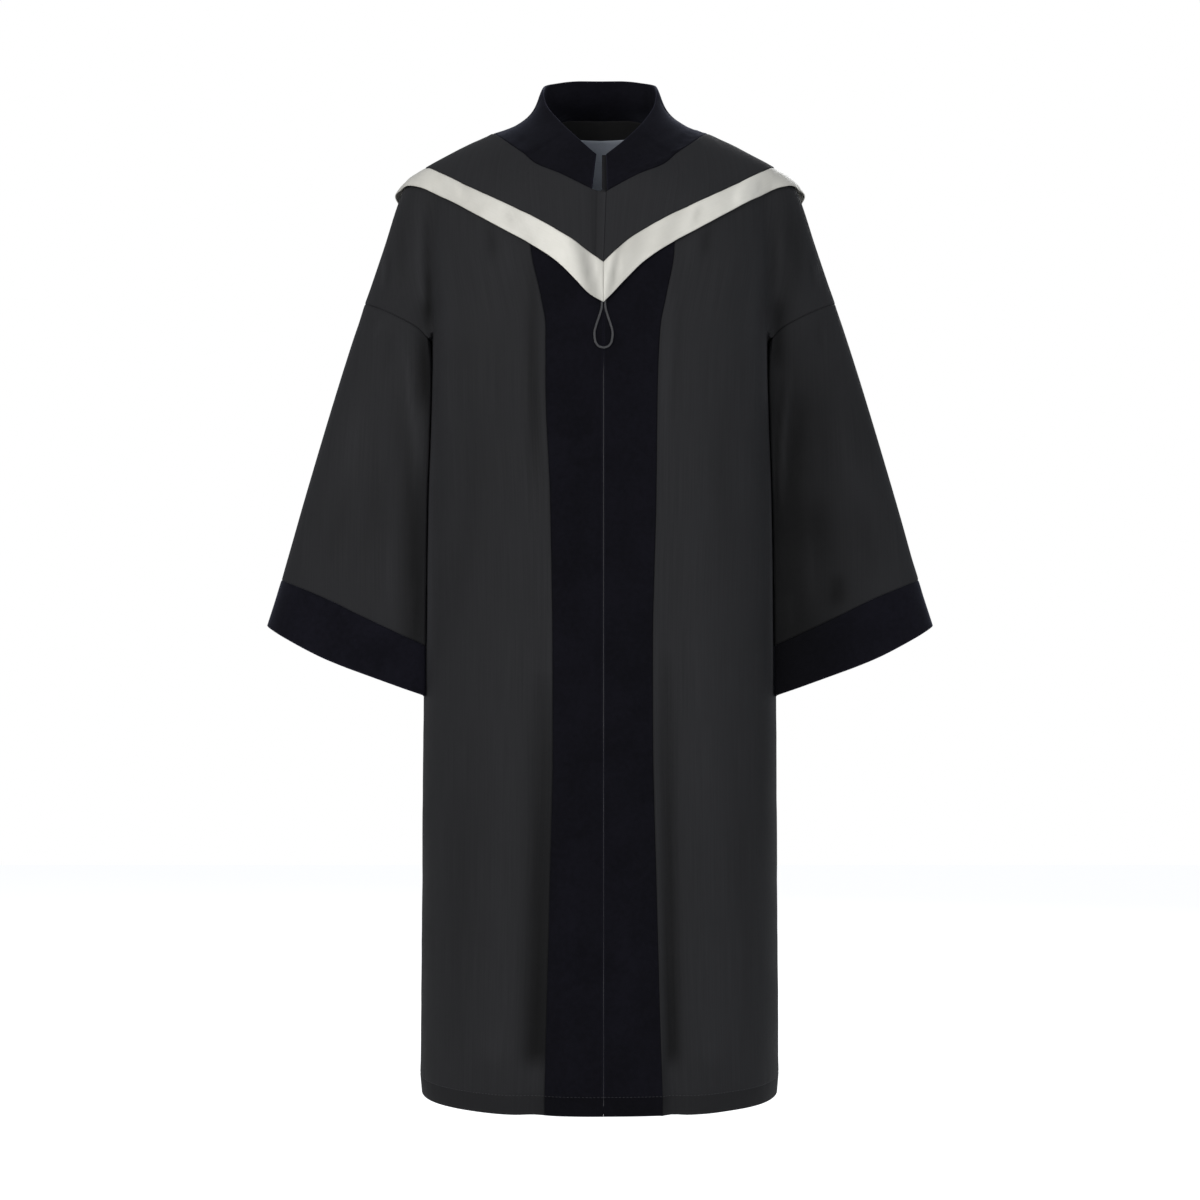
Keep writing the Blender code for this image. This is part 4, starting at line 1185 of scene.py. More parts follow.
def cloth_mesh(name, cloth, relief, finishes, shade):
    """A closed mesh of the cloth's two faces and its rim, with its weave map and its bake map."""
    outer, inner = cloth.outer_and_inner(relief)
    outer = cloth.pulled(outer)
    rows, columns = relief.shape
    count = rows * columns
    index = np.arange(count).reshape(rows, columns)
    cells = np.stack([index[:-1, :-1], index[:-1, 1:], index[1:, 1:], index[1:, :-1]], axis=-1).reshape(-1, 4)
    border = np.concatenate([index[0, :-1], index[:-1, -1], index[-1, :0:-1], index[:0:-1, 0]])
    after = np.roll(border, -1)
    rim = np.stack([after, border, border + count, after + count], axis=1)
    i, j = rows // 2, columns // 2
    ahead = np.cross(outer[i + 1, j] - outer[i, j], outer[i, j + 1] - outer[i, j])
    turn = -1 if (ahead * cloth.out[i, j]).sum() > 0 else 1
    faces = np.concatenate([cells, cells[:, ::-1] + count, rim])[:, ::turn]
    weave = np.stack([cloth.across, cloth.upward], axis=-1).reshape(-1, 2)
    points = np.concatenate([outer.reshape(-1, 3), inner.reshape(-1, 3)])
    mesh = new_mesh(name, points, faces.tolist(), np.tile(weave, (2, 1)), finishes, sharp=50)
    side = np.repeat([0, 1, 2], [len(cells), len(cells), len(rim)])
    mesh.polygons.foreach_set("material_index", ((side == 1) * (len(finishes) > 1)).astype(np.int32))
    bake = (weave / (cloth.across.max(), cloth.upward.max()))[faces % count]
    bake[side == 0] = bake[side == 0] * OUTER_MAP[0] + OUTER_MAP[1]
    bake[side == 1] = bake[side == 1] * INNER_MAP[0] + INNER_MAP[1]
    low, high = (shares(len(rim))[part] * 0.98 + 0.01 for part in (slice(-1), slice(1, None)))
    strip = np.empty((len(rim), 4, 2))
    strip[:, :, 0] = np.repeat(RIM_MAP, 2)
    strip[:, :, 1] = np.stack([high, low, low, high], axis=1)
    bake[side == 2] = strip[:, ::turn]
    put(mesh.uv_layers.new(name="OFBake"), "uv", bake)
    mesh.uv_layers.active = mesh.uv_layers["Weave"]
    # two colour masks: edge wear with a painted highlight on the velvet, and painted light and shade over the
    # cloth
    for label, values in (("edge_wear_and_painted_light", cloth.worn()), ("painted_shade_and_tone", cloth.toned(shade))):
        put(mesh.attributes.new(label, "FLOAT", "POINT"), "value", np.tile(values.reshape(-1), 2))
    return linked(name, mesh)


def turned(angle, side, up):
    return np.cos(angle)[..., None] * side + np.sin(angle)[..., None] * up


def tube_mesh(name, tubes, across, run, finish):
    """Closed tubes of points (tube, ring, around), capped at both ends, and their places round and along."""
    index = np.arange(tubes[..., 0].size).reshape(tubes.shape[:3])
    after = np.roll(index, -1, axis=2)
    sides = np.stack([index[:, :-1], after[:, :-1], after[:, 1:], index[:, 1:]], axis=-1).reshape(-1, 4)
    faces = [*sides.tolist(), *index[:, 0, ::-1].tolist(), *index[:, -1].tolist()]
    places = np.stack([np.broadcast_to(part, index.shape) for part in (across, run)], axis=-1)
    return linked(name, new_mesh(name, tubes.reshape(-1, 3), faces, places.reshape(-1, 2), [finish], sharp=70))


def hang_on_gown(made, node):
    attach(made, "root")
    if node:
        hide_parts(node)
    return made


# ------------------------------------------------------------------ finishes
def maths(tree, operation, a, b=0.0):
    made = node_in(tree, "ShaderNodeMath", operation=operation)
    feed(tree, made.inputs[0], a)
    feed(tree, made.inputs[1], b)
    return made.outputs[0]


def weighted(tree, *parts):
    """The sum of pairs of a value and its weight."""
    total = None
    for value, weight in parts:
        term = maths(tree, "MULTIPLY", value, weight)
        total = term if total is None else maths(tree, "ADD", total, term)
    return total


def blended(tree, share, low, high):
    """A colour between two colours."""
    made = node_in(tree, "ShaderNodeMix", data_type="RGBA")
    feed(tree, made.inputs[0], share)
    for socket, colour in ((6, low), (7, high)):
        feed(tree, made.inputs[socket], (*colour, 1.0) if isinstance(colour, tuple) else colour)
    return made.outputs[2]


def ranged(tree, value, low, high, to_low=0.0, to_high=1.0):
    made = node_in(tree, "ShaderNodeMapRange", interpolation_type="SMOOTHSTEP")
    for socket, number in zip(made.inputs[:5], (value, low, high, to_low, to_high)):
        feed(tree, socket, number)
    return made.outputs[0]


def noise(tree, vector, scale, detail=2.0, roughness=0.5):
    made = node_in(tree, "ShaderNodeTexNoise")
    for label, value in (("Vector", vector), ("Scale", scale), ("Detail", detail), ("Roughness", roughness)):
        feed(tree, made.inputs[label], value)
    return made.outputs["Fac"]


def new_group(name, inputs, outputs):
    """A shared effect: it takes a place and some numbers and gives numbers."""
    tree = bpy.data.node_groups.new(name, "ShaderNodeTree")
    tree.interface.new_socket("Vector", in_out="INPUT", socket_type="NodeSocketVector")
    for label, value in inputs.items():
        tree.interface.new_socket(label, in_out="INPUT", socket_type="NodeSocketFloat").default_value = value
    for label in outputs:
        tree.interface.new_socket(label, in_out="OUTPUT", socket_type="NodeSocketFloat")
    return tree, node_in(tree, "NodeGroupInput").outputs, node_in(tree, "NodeGroupOutput").inputs


def across_and_along(tree, vector):
    parts = node_in(tree, "ShaderNodeSeparateXYZ")
    feed(tree, parts.inputs[0], vector)
    return parts.outputs["X"], parts.outputs["Y"]


def threads_group():
    """Warp and weft: a plain weave, or a diagonal twill, as a height from 0 to 1."""
    tree, given, out = new_group("threads", {"Pitch": 0.001, "Twill": 0.5}, ["threads"])
    turn = maths(tree, "DIVIDE", 2 * math.pi, given["Pitch"])
    u, v = (maths(tree, "MULTIPLY", part, turn) for part in across_and_along(tree, given["Vector"]))
    plain = maths(tree, "MULTIPLY", maths(tree, "SINE", u), maths(tree, "SINE", v))
    slant = maths(tree, "SINE", weighted(tree, (u, 1.0), (v, 0.5)))
    rest = maths(tree, "SUBTRACT", 1.0, given["Twill"])
    both = weighted(tree, (plain, rest), (slant, given["Twill"]))
    feed(tree, out["threads"], maths(tree, "ADD", maths(tree, "MULTIPLY", both, 0.5), 0.5))
    return tree


def slubs_group():
    """Long thin unevenness along the yarns, from 0 to 1."""
    tree, given, out = new_group("slubs", {"Across": 600.0, "Along": 8.0}, ["slubs"])
    joined = node_in(tree, "ShaderNodeCombineXYZ")
    x, y = across_and_along(tree, given["Vector"])
    feed(tree, joined.inputs["X"], maths(tree, "MULTIPLY", x, given["Across"]))
    feed(tree, joined.inputs["Y"], maths(tree, "MULTIPLY", y, given["Along"]))
    feed(tree, out["slubs"], noise(tree, joined.outputs[0], 1.0))
    return tree


def clouds_group():
    """Broad faint unevenness of dye and wear, from 0 to 1."""
    tree, given, out = new_group("clouds", {"Size": 0.06}, ["clouds"])
    scale = maths(tree, "DIVIDE", 1.0, given["Size"])
    feed(tree, out["clouds"], noise(tree, given["Vector"], scale, 4.0, 0.55))
    return tree


def pile_group():
    """Short velvet pile: tufts, clumps of tufts and patches where the nap leans over."""
    tree, given, out = new_group("pile", {"Tuft": 0.0006, "Patch": 0.035}, ["pile", "nap"])
    fine = maths(tree, "DIVIDE", 1.0, given["Tuft"])
    tufts = noise(tree, given["Vector"], fine, 1.0)
    clumps = noise(tree, given["Vector"], maths(tree, "MULTIPLY", fine, 0.14))
    leaning = noise(tree, given["Vector"], maths(tree, "DIVIDE", 1.0, given["Patch"]), 3.0)
    feed(tree, out["pile"], weighted(tree, (tufts, 0.7), (clumps, 0.3)))
    feed(tree, out["nap"], weighted(tree, (leaning, 0.6), (clumps, 0.4)))
    return tree


MAKERS = {"threads": threads_group, "slubs": slubs_group, "clouds": clouds_group, "pile": pile_group}
ON_WEAVE = ("threads", "slubs")  # these follow the weave map, the others the object's coordinates
GROUPS = {}


def object_place(tree):
    return node_in(tree, "ShaderNodeTexCoord").outputs["Object"]


def effect(tree, name, **values):
    """A shared effect placed in a material with its own values; its outputs by name."""
    if name not in GROUPS:
        GROUPS[name] = MAKERS[name]()
    made = node_in(tree, "ShaderNodeGroup", node_tree=GROUPS[name])
    on_weave = name in ON_WEAVE
    place = node_in(tree, "ShaderNodeUVMap", uv_map="Weave").outputs[0] if on_weave else object_place(tree)
    for label, value in {"Vector": place, **values}.items():
        feed(tree, made.inputs[label], value)
    return dict(made.outputs.items())


def new_finish(name, **sockets):
    """A material with its constant values on its own shader's sockets."""
    made = bpy.data.materials.new(name)
    made.use_nodes = True
    shader = made.node_tree.nodes["Principled BSDF"]
    for label, value in sockets.items():
        shader.inputs[label.replace("_", " ")].default_value = value
    return made, made.node_tree, shader


def carried(tree, attribute):
    return node_in(tree, "ShaderNodeAttribute", attribute_name=attribute).outputs["Fac"]


def bump(tree, shader, height, distance):
    made = node_in(tree, "ShaderNodeBump")
    made.inputs["Strength"].default_value = 1.0
    made.inputs["Distance"].default_value = distance
    feed(tree, made.inputs["Height"], height)
    feed(tree, shader.inputs["Normal"], made.outputs["Normal"])


def cloth_finish(
    name, low, high, effects, tone, span, edge_wear_and_light_mix, shade, relief, relief_height, rough=None, **sockets
):
    """A cloth from low to high in colour: its effects, their shares in its tone and its relief, the share and
    colour of its folded edges (rubbed wear, and on the velvet a painted highlight), how strongly painted light
    and shade change it, and what its roughness follows, from and to."""
    made, tree, shader = new_finish(name, **sockets)
    found = {}
    for kind, values in effects.items():
        found.update(effect(tree, kind, **values))
    mixed = weighted(tree, *((found[kind], share) for kind, share in tone.items()))
    colour = blended(tree, ranged(tree, mixed, *span), low, high)
    edge = maths(tree, "MULTIPLY", carried(tree, "edge_wear_and_painted_light"), edge_wear_and_light_mix[0])
    lit = node_in(tree, "ShaderNodeVectorMath", operation="SCALE")
    feed(tree, lit.inputs[0], blended(tree, edge, colour, edge_wear_and_light_mix[1]))
    # painted light and shade: the base colour is scaled by the tone carried on the points
    strength = maths(tree, "MULTIPLY", carried(tree, "painted_shade_and_tone"), shade)
    feed(tree, lit.inputs["Scale"], maths(tree, "ADD", 1.0, strength))
    feed(tree, shader.inputs["Base Color"], lit.outputs[0])
    if rough:
        value = found.get(rough[0], mixed)
        feed(tree, shader.inputs["Roughness"], ranged(tree, value, *rough[1:]))
    height = weighted(tree, *((found[kind], share) for kind, share in relief.items()))
    bump(tree, shader, height, relief_height)
    return made


def lighter(colour, factor):
    return tuple(min(1.0, v * factor) for v in colour)


def suiting():
    """Fine smooth charcoal suiting: a faint twill with slubs along the warp."""
    high = (0.0203, 0.0203, 0.022)
    return cloth_finish(
        "charcoal_suiting", (0.0134, 0.0134, 0.0147), high,
        effects={"threads": {"Pitch": 0.0009, "Twill": 0.65}, "slubs": {"Across": 620.0, "Along": 9.0},
                 "clouds": {"Size": 0.075}},
        tone={"threads": 0.22, "slubs": 0.42, "clouds": 0.36}, span=(0.28, 0.72),
        edge_wear_and_light_mix=(0.55, lighter(high, 1.45)), shade=0.42, rough=("clouds", 0.3, 0.7, 0.66, 0.78),
        relief={"threads": 0.65, "slubs": 0.35}, relief_height=0.0001,
        Specular_IOR_Level=0.13, Sheen_Weight=0.02, Sheen_Roughness=0.5, Sheen_Tint=(0.85, 0.87, 0.95, 1.0),
    )


def velvet():
    """Blue-black velvet: short pile that darkens and lightens in soft patches."""
    high = (0.0038, 0.0036, 0.0064)
    return cloth_finish(
        "blue_black_velvet", (0.002, 0.0019, 0.0036), high,
        effects={"pile": {"Tuft": 0.0008, "Patch": 0.045}}, tone={"nap": 0.75, "pile": 0.25},
        # its folded edges are painted lighter: rubbed pile and a painted highlight
        span=(0.32, 0.66), edge_wear_and_light_mix=(0.7, lighter(high, 2.4)), shade=0.55, relief={"pile": 1.0},
        relief_height=0.00022,
        Specular_IOR_Level=0.1, Roughness=0.92,
        Sheen_Weight=0.16, Sheen_Roughness=0.36, Sheen_Tint=(0.62, 0.66, 0.9, 1.0),
    )


def satin():
    """Ivory satin: smooth, with fine cross threads and a soft sheen."""
    return cloth_finish(
        "ivory_satin", (0.56, 0.545, 0.495), (0.625, 0.61, 0.56),
        effects={"slubs": {"Across": 40.0, "Along": 1500.0}, "threads": {"Pitch": 0.0006, "Twill": 0.2},
                 "clouds": {"Size": 0.03}},
        tone={"slubs": 0.35, "clouds": 0.5, "threads": 0.15}, span=(0.3, 0.7),
        edge_wear_and_light_mix=(0.35, (0.42, 0.4, 0.36)), shade=0.24, rough=("clouds", 0.3, 0.7, 0.3, 0.42),
        relief={"slubs": 0.6, "threads": 0.4}, relief_height=0.00006,
        Specular_IOR_Level=0.45, Anisotropic=0.35,
    )


def plain_cloth(name, low, high, roughness=0.85, pitch=0.0008, sheen=0.05):
    """A plain-woven trimming cloth, such as a facing, a tape or a label."""
    return cloth_finish(
        name, low, high, effects={"threads": {"Pitch": pitch, "Twill": 0.1}, "clouds": {"Size": 0.02}},
        tone={"threads": 0.5, "clouds": 0.5}, span=(0.25, 0.75), edge_wear_and_light_mix=(0.8, lighter(high, 1.5)), shade=0.4,
        rough=("tone", 0.2, 0.8, roughness - 0.08, roughness), relief={"threads": 1.0}, relief_height=0.00012,
        Specular_IOR_Level=0.2, Sheen_Weight=sheen, Sheen_Roughness=0.4,
    )


def speckled(name, speck, low, high, rough, relief_height=0.0, **sockets):
    """A spun or hard surface: one fine pattern mixes its two colours and its two roughnesses."""
    made, tree, shader = new_finish(name, **sockets)
    value = speck(tree)
    feed(tree, shader.inputs["Base Color"], blended(tree, value, low, high))
    feed(tree, shader.inputs["Roughness"], ranged(tree, value, 0.3, 0.7, *rough))
    if relief_height:
        bump(tree, shader, value, relief_height)
    return made


def twine(name, low, high):
    """Spun yarn, for the cord and the sewing threads: fibres along its own length."""
    return speckled(
        name, lambda tree: effect(tree, "slubs", Across=5000.0, Along=420.0)["slubs"], low, high, (0.6, 0.8),
        0.00012, Specular_IOR_Level=0.25, Sheen_Weight=0.2, Sheen_Roughness=0.4,
    )


def dark_metal():
    """Blackened metal, rubbed bright in places."""
    made, tree, shader = new_finish("dark_metal", Metallic=1.0)
    rubs = noise(tree, object_place(tree), 900.0, 3.0)
    colour = blended(tree, ranged(tree, rubs, 0.45, 0.7), (0.025, 0.025, 0.027), (0.1, 0.1, 0.105))
    feed(tree, shader.inputs["Base Color"], colour)
    feed(tree, shader.inputs["Roughness"], ranged(tree, rubs, 0.3, 0.7, 0.45, 0.28))
    bump(tree, shader, rubs, 0.00003)
    return made


def finishes():
    return {
        "suiting": suiting(),
        "wrong_side": plain_cloth("velvet_ground", (0.01, 0.01, 0.012), (0.016, 0.016, 0.019)),
        "velvet": velvet(),
        "satin": satin(),
        "facing": plain_cloth("neck_facing", (0.0042, 0.0042, 0.0044), (0.0076, 0.0076, 0.008)),
        "label": plain_cloth("bare_label", (0.206, 0.23, 0.274), (0.268, 0.29, 0.334), 0.6, pitch=0.0005),
        "tape": plain_cloth("zip_tape", (0.003, 0.003, 0.0036), (0.0058, 0.0058, 0.0066), 0.85, 0.0007, 0.0),
        "cord": twine("twisted_cord", (0.045, 0.045, 0.048), (0.095, 0.095, 0.1)),
        "thread": twine("sewing_thread", (0.02, 0.02, 0.022), (0.036, 0.036, 0.04)),
        "metal": dark_metal(),
        "teeth": speckled(
            "zip_tooth_nylon", lambda tree: noise(tree, object_place(tree), 1400.0), (0.034, 0.034, 0.038),
            (0.066, 0.066, 0.072), (0.34, 0.5), Specular_IOR_Level=0.5,
        ),
    }


# ------------------------------------------------------------------ the cord, the stitches and the zip
def twisted_cord(finish):
    """The hanging cord loop: strands laid round a teardrop line from under the satin band's point."""
    half = along(LOOP_SIDE, np.linspace(0, 1, LOOP_STEPS))
    line = np.concatenate([half * (-1, 1), half[-2::-1]])
    x, z = FRONT_EDGE_X + line[:, 0], BAND_FRONT[0, 2] - line[:, 1]
    path = np.stack([x, -depth(x, z, "front") - LOOP_RISE - LOOP_DIAMETER / 2, z], axis=1)
    length = run_of(path)
    ahead = unit(np.gradient(path, axis=0))
    side = unit(np.cross(ahead, (0.0, 1.0, 0.0)))
    up = np.cross(side, ahead)
    spread = LOOP_DIAMETER / 2 / (1 + math.sin(math.pi / LOOP_STRANDS)) * STRAND_SPREAD
    thick = LOOP_DIAMETER / 2 - spread
    turn = 2 * math.pi * (length / LOOP_TWIST + shares(LOOP_STRANDS)[:-1, None])
    around = 2 * math.pi * shares(STRAND_SECTION)[:-1]
    centre = path + spread * turned(turn, side, up)
    tubes = centre[:, :, None] + thick * turned(turn[..., None] + around, side[:, None], up[:, None])
    made = tube_mesh("cord_loop_twist", tubes, around * thick, length[:, None], finish)
    hang_on_gown(made, "cord_loop")


def stitches(name, line, out, finish):
    """A row of sewing stitches along a line on the cloth, each one diving in at its ends."""
    run = run_of(line)
    count = int(run[-1] / STITCH_PITCH)
    starts = (np.arange(count) + 0.5) * run[-1] / count - STITCH_LENGTH / 2
    share, swell, rise = STITCH.T
    at = starts[:, None] + STITCH_LENGTH * share
    middle, way_out = picked(at, run, line), unit(picked(at, run, out))
    beside = np.cross(unit(middle[:, -1:] - middle[:, :1]), way_out)
    lift = 1 + STITCH_LIFT * np.sin(STITCH_BEAT * np.arange(count))
    radius = STITCH_THICKNESS / 2
    around = 2 * math.pi * shares(STITCH_SECTION)[:-1]
    centre = middle + way_out * (rise * radius * lift[:, None])[..., None]
    ring = turned(around, beside[:, :, None], way_out[:, :, None]) * radius * swell[:, None, None]
    made = tube_mesh(name, centre[:, :, None] + ring, around * radius, at[..., None], finish)
    return hang_on_gown(made, None)


def line_on(cloth, outer, edge, distance):
    """A line over a finished cloth at one distance from an edge, with its outward directions."""
    lines = [cloth.apart[edge], outer, cloth.out]
    if "row" in edge:
        lines = [part.swapaxes(0, 1) for part in lines]
    found = []
    for at, spots, ahead in zip(*lines):
        order = np.argsort(at)
        found.append(picked(distance, at[order], np.hstack([spots, ahead])[order]))
    return np.array(found)[:, :3], np.array(found)[:, 3:]


def zip_chain(finish):
    """The zip's chain of moulded teeth, in the gap between the two velvet fronts."""
    foot, top = HEM_LEVEL + ZIP_FOOT, NECK_FRONT_LEVEL - ZIP_TOP
    count = int((top - foot) / TOOTH_PITCH)
    levels = foot + (np.arange(count) + 0.5) * TOOTH_PITCH
    sink = TOOTH_SINK + TOOTH_SINK_MORE * soft_step(levels, *TOOTH_COVERED)
    x = FRONT_EDGE_X + TOOTH_STAGGER * np.where(np.arange(count) % 2, 1, -1)
    middle = np.stack([x, -depth(np.full(count, FRONT_EDGE_X), levels, "front") + sink, levels], axis=1)
    shape = np.array([[(a * swell, b * swell, z) for a, b in TOOTH_RING] for z, swell in TOOTH_LAYERS])
    tubes = middle[:, None, None] + np.array(TOOTH_SIZE) / 2 * shape
    across = np.array(TOOTH_RING)[:, 0] * TOOTH_SIZE[0] / 2
    return hang_on_gown(tube_mesh("zip_chain", tubes, across, tubes[..., 2], finish), None)


def zip_slider(finish):
    """The slider's body, set a little above its part, narrower at its foot and worn round at its edges."""
    low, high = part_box("zip_slider")
    centre = [(a + b) / 2 for a, b in zip(low, high)]
    centre[2] += SLIDER_RISE
    bpy.ops.object.select_all(action="DESELECT")
    bpy.ops.mesh.primitive_cube_add(size=1.0, location=centre, rotation=(SLIDER_TILT, 0.0, 0.0))
    body = bpy.context.object
    body.name = "zip_slider_body"
    body.scale = SLIDER_SIZE
    bpy.ops.object.mode_set(mode="EDIT")
    bpy.ops.mesh.select_all(action="SELECT")
    bpy.ops.mesh.subdivide(number_cuts=3)
    for level, width in SLIDER_FOOT:
        bpy.ops.mesh.select_all(action="DESELECT")
        bpy.ops.object.mode_set(mode="OBJECT")
        for vertex in body.data.vertices:
            vertex.select = abs(vertex.co.z - level) < 0.01
        bpy.ops.object.mode_set(mode="EDIT")
        bpy.ops.transform.resize(value=(width, 1.0, 1.0), center_override=centre)
    bpy.ops.object.mode_set(mode="OBJECT")
    bpy.ops.object.transform_apply(location=False, rotation=False, scale=True)
    rounding = body.modifiers.new("worn_edges", "BEVEL")
    rounding.width = SLIDER_WEAR
    rounding.segments = 3
    rounding.limit_method = "ANGLE"
    bpy.ops.object.modifier_apply(modifier="worn_edges")
    bpy.ops.object.transform_apply(location=True, rotation=True, scale=True)
    body.data.materials.append(finish)
    bpy.ops.object.shade_smooth_by_angle(angle=math.radians(40))
    hang_on_gown(body, "zip_slider")


# ------------------------------------------------------------------ relief and shade on the cloth
def off_seams(cloth, *edges):
    """1 over the cloth, 0 at these edges, where it has to meet its neighbour."""
    return np.prod([soft_step(cloth.apart[edge], 0.0, SEAM_CALM) for edge in edges], axis=0)


def in_front(cloth, reach=0.02):
    """1 in front, 0 from the middle backwards."""
    return soft_step(-cloth.y, 0.0, reach)


def creased(cloth, table):
    """How far the creases of a table stand out on a cloth seen from the front or from behind."""
    height = np.zeros_like(cloth.x)
    for x, z, end_x, end_z, bow, half_width, rise in table.rows:
        run = np.array([end_x - x, end_z - z])
        length = np.hypot(*run)
        way = run / length
        share = ((cloth.x - x) * way[0] + (cloth.z - z) * way[1]) / length
        arch = np.sin(math.pi * np.clip(share, 0, 1))
        apart = (cloth.x - x) * way[1] - (cloth.z - z) * way[0] + bow * arch
        height = height + rise * arch**1.5 * bell(apart, half_width)
    return height


def hang(cloth, seed):
    """Broad shallow unevenness of cloth that hangs free, growing towards the hem."""
    drift = cloth.x + 0.012 * np.sin(2.3 * cloth.z + seed)
    broad = soft_step(-cloth.z, 0.15, 1.15) * uneven(drift, spacing=0.105, seed=seed, height=0.0011)
    return broad + uneven(cloth.z + 0.5 * cloth.x, spacing=0.17, seed=seed + 1, height=0.00022)


def pucker(cloth, edge, height, spacing, reach, seed):
    """Small ripples that run out from a seam and die away."""
    away = cloth.apart[edge] / reach
    return uneven(cloth.place[edge], spacing, seed, height) * away * np.exp(1 - away)


def patches(cloth, table):
    """Painted light and shade in soft patches in front, where the cloth turns towards the light or away from
    it.
    """
    tone = np.zeros(cloth.x.shape)
    for x, z, wide, high, more in table.rows:
        tone = tone + more * np.exp(-(((cloth.x - x) / wide) ** 2) - ((cloth.z - z) / high) ** 4)
    return tone * in_front(cloth)


def body_shade(cloth):
    """The shade on the wearer's left sleeve and cuff, which hang on the side away from the light."""
    amount, reach = (SIDE_SHADE.at(name, cloth.z) for name in ("amount", "reach"))
    return amount * bell(cloth.x - BODY_SIDE, reach) * in_front(cloth) * (cloth.x > 0)


def front_relief(cloth):
    return creased(cloth, BODY_FRONT_CREASES) + hang(cloth, seed=1.3)


def charcoal_relief(cloth):
    return front_relief(cloth) * off_seams(cloth, "last_column")


def back_relief(cloth):
    relief = creased(cloth, BODY_BACK_CREASES) + 1.4 * hang(cloth, seed=4.1)
    return relief * off_seams(cloth, "first_column", "last_column")


def hem_ripple(cloth):
    """The hem's edge drawn in unevenly by its stitching."""
    near = bell(cloth.apart["first_row"] - HEM_TURNING, reach=0.012)
    ripple = uneven(2 * cloth.across, spacing=0.034, seed=2.7, height=0.00028)
    return off_seams(cloth, "first_column", "last_column") * near * ripple


def front_shade(cloth):
    folds = fold_height(cloth.x, cloth.z, "front") * soft_step(cloth.z - HEM_LEVEL, *FOLD_SHADE_FOOT)
    beside_velvet = SHADY_SEAM * fading(cloth.apart["first_column"], SHADY_SEAM_REACH)
    beside_velvet = beside_velvet * soft_step(-cloth.z, *SHADY_SEAM_LEVELS)
    creases = creased(cloth, BODY_FRONT_CREASES) * FRONT_CREASE_SHADE
    return (folds * FRONT_FOLD_SHADE + creases - beside_velvet) / SHADE_DEPTH + patches(cloth, BODY_PATCHES)


def velvet_shade(cloth):
    # painted shade along the wearer's left front's closed edge, painted highlight along the right's
    edge_shade_and_highlight = fading(cloth.apart["first_column"], reach=0.0011) * np.sign(cloth.x)
    return creased(cloth, BODY_FRONT_CREASES) / SHADE_DEPTH - edge_shade_and_highlight


def back_shade(cloth):
    folds = fold_height(cloth.x, cloth.z, "back") * BACK_FOLD_SHADE
    return (folds + creased(cloth, BODY_BACK_CREASES)) / SHADE_DEPTH


def sleeve_creases(cloth, behind=1.0):
    """The sleeve's creases in front and behind, those behind at this share of their height."""
    front = in_front(cloth, reach=0.03) * creased(cloth, SLEEVE_FRONT_CREASES)
    return front + soft_step(cloth.y, 0.0, 0.03) * creased(cloth, SLEEVE_BACK_CREASES) * behind


def sleeve_relief(cloth):
    ends = soft_step(cloth.apart["first_row"], 0.0, 0.03) * soft_step(cloth.apart["last_row"], 0.0, 0.02)
    away_from_body = soft_step(np.abs(cloth.x), 0.202, 0.212)
    return sleeve_creases(cloth) * ends * away_from_body


def sleeve_shade(cloth):
    creases = sleeve_creases(cloth, behind=0.5) * SLEEVE_CREASE_SHADE
    return creases / SHADE_DEPTH + patches(cloth, SLEEVE_PATCHES) - body_shade(cloth)


# painted light all over the cuffs, and painted shade where the wearer's left cuff hangs away from the light
def cuff_shade(cloth):
    return CUFF_TONE - CUFF_SHADE * body_shade(cloth)


def placket(cloth):
    """The folded strip down the edge of the wearer's right cape front, stitched down along its side."""
    away = cloth.apart["first_column"]
    strip = PLACKET_RISE * soft_step(-away, -PLACKET_WIDTH, -PLACKET_WIDTH + 0.004)
    return strip - 0.0007 * bell(away - PLACKET_WIDTH, reach=0.0018)


# Painted light and shade on the wearer's right cape front: lighter all over and more over the placket strip,
# painted shade in the groove beside the strip and along its edge.
def placket_shade(cloth):
    away = cloth.apart["first_column"]
    groove = 0.6 * bell(away - PLACKET_WIDTH - 0.0006, reach=0.0022)
    edge = 1.1 * fading(away, reach=0.0008)
    return 0.15 + 0.3 * soft_step(-away, -PLACKET_WIDTH, -0.006) - groove - edge


# painted light over the whole of each cape front
def cape_shade(cloth):
    return np.full(cloth.x.shape, CAPE_TONE)


def cape_hang(cloth):
    return uneven(cloth.x - 0.3 * cloth.z, spacing=0.085, seed=2.2, height=0.0004)


def band_relief(cloth):
    waves = uneven(cloth.across + 0.4 * cloth.upward, spacing=0.046, seed=1.1, height=0.00055)
    fine = uneven(cloth.across - 0.7 * cloth.upward, spacing=0.017, seed=2.9, height=0.00016)
    return creased(cloth, BAND_CREASES) + waves * soft_step(cloth.across, 0.0, 0.02) + fine


def band_back_relief(cloth):
    return uneven(cloth.across, spacing=0.075, seed=3.6, height=0.0004)


def band_shade(cloth):
    tone = creased(cloth, BAND_CREASES) / BAND_SHADE_DEPTH
    for side, place, reach, more in SATIN_ROLLS:
        on_side = cloth.x * side > FRONT_EDGE_X * side
        away = np.abs(cloth.x - FRONT_EDGE_X) + 0.25 * cloth.upward - place
        tone = tone + more * on_side * bell(away, reach)
    return tone


def collar_relief(cloth):
    waves = uneven(cloth.across, spacing=0.11, seed=0.4, height=0.0003)
    return in_front(cloth) * creased(cloth, COLLAR_CREASES) + waves


# Painted light over the label's lower part, lighter downwards, and a darker line along its stitched seam.
def label_shade(cloth):
    return soft_step(-cloth.z, 0.0, 0.045) - 0.9 * bell(cloth.apart["last_row"] - LABEL_SEAM, reach=0.0004)


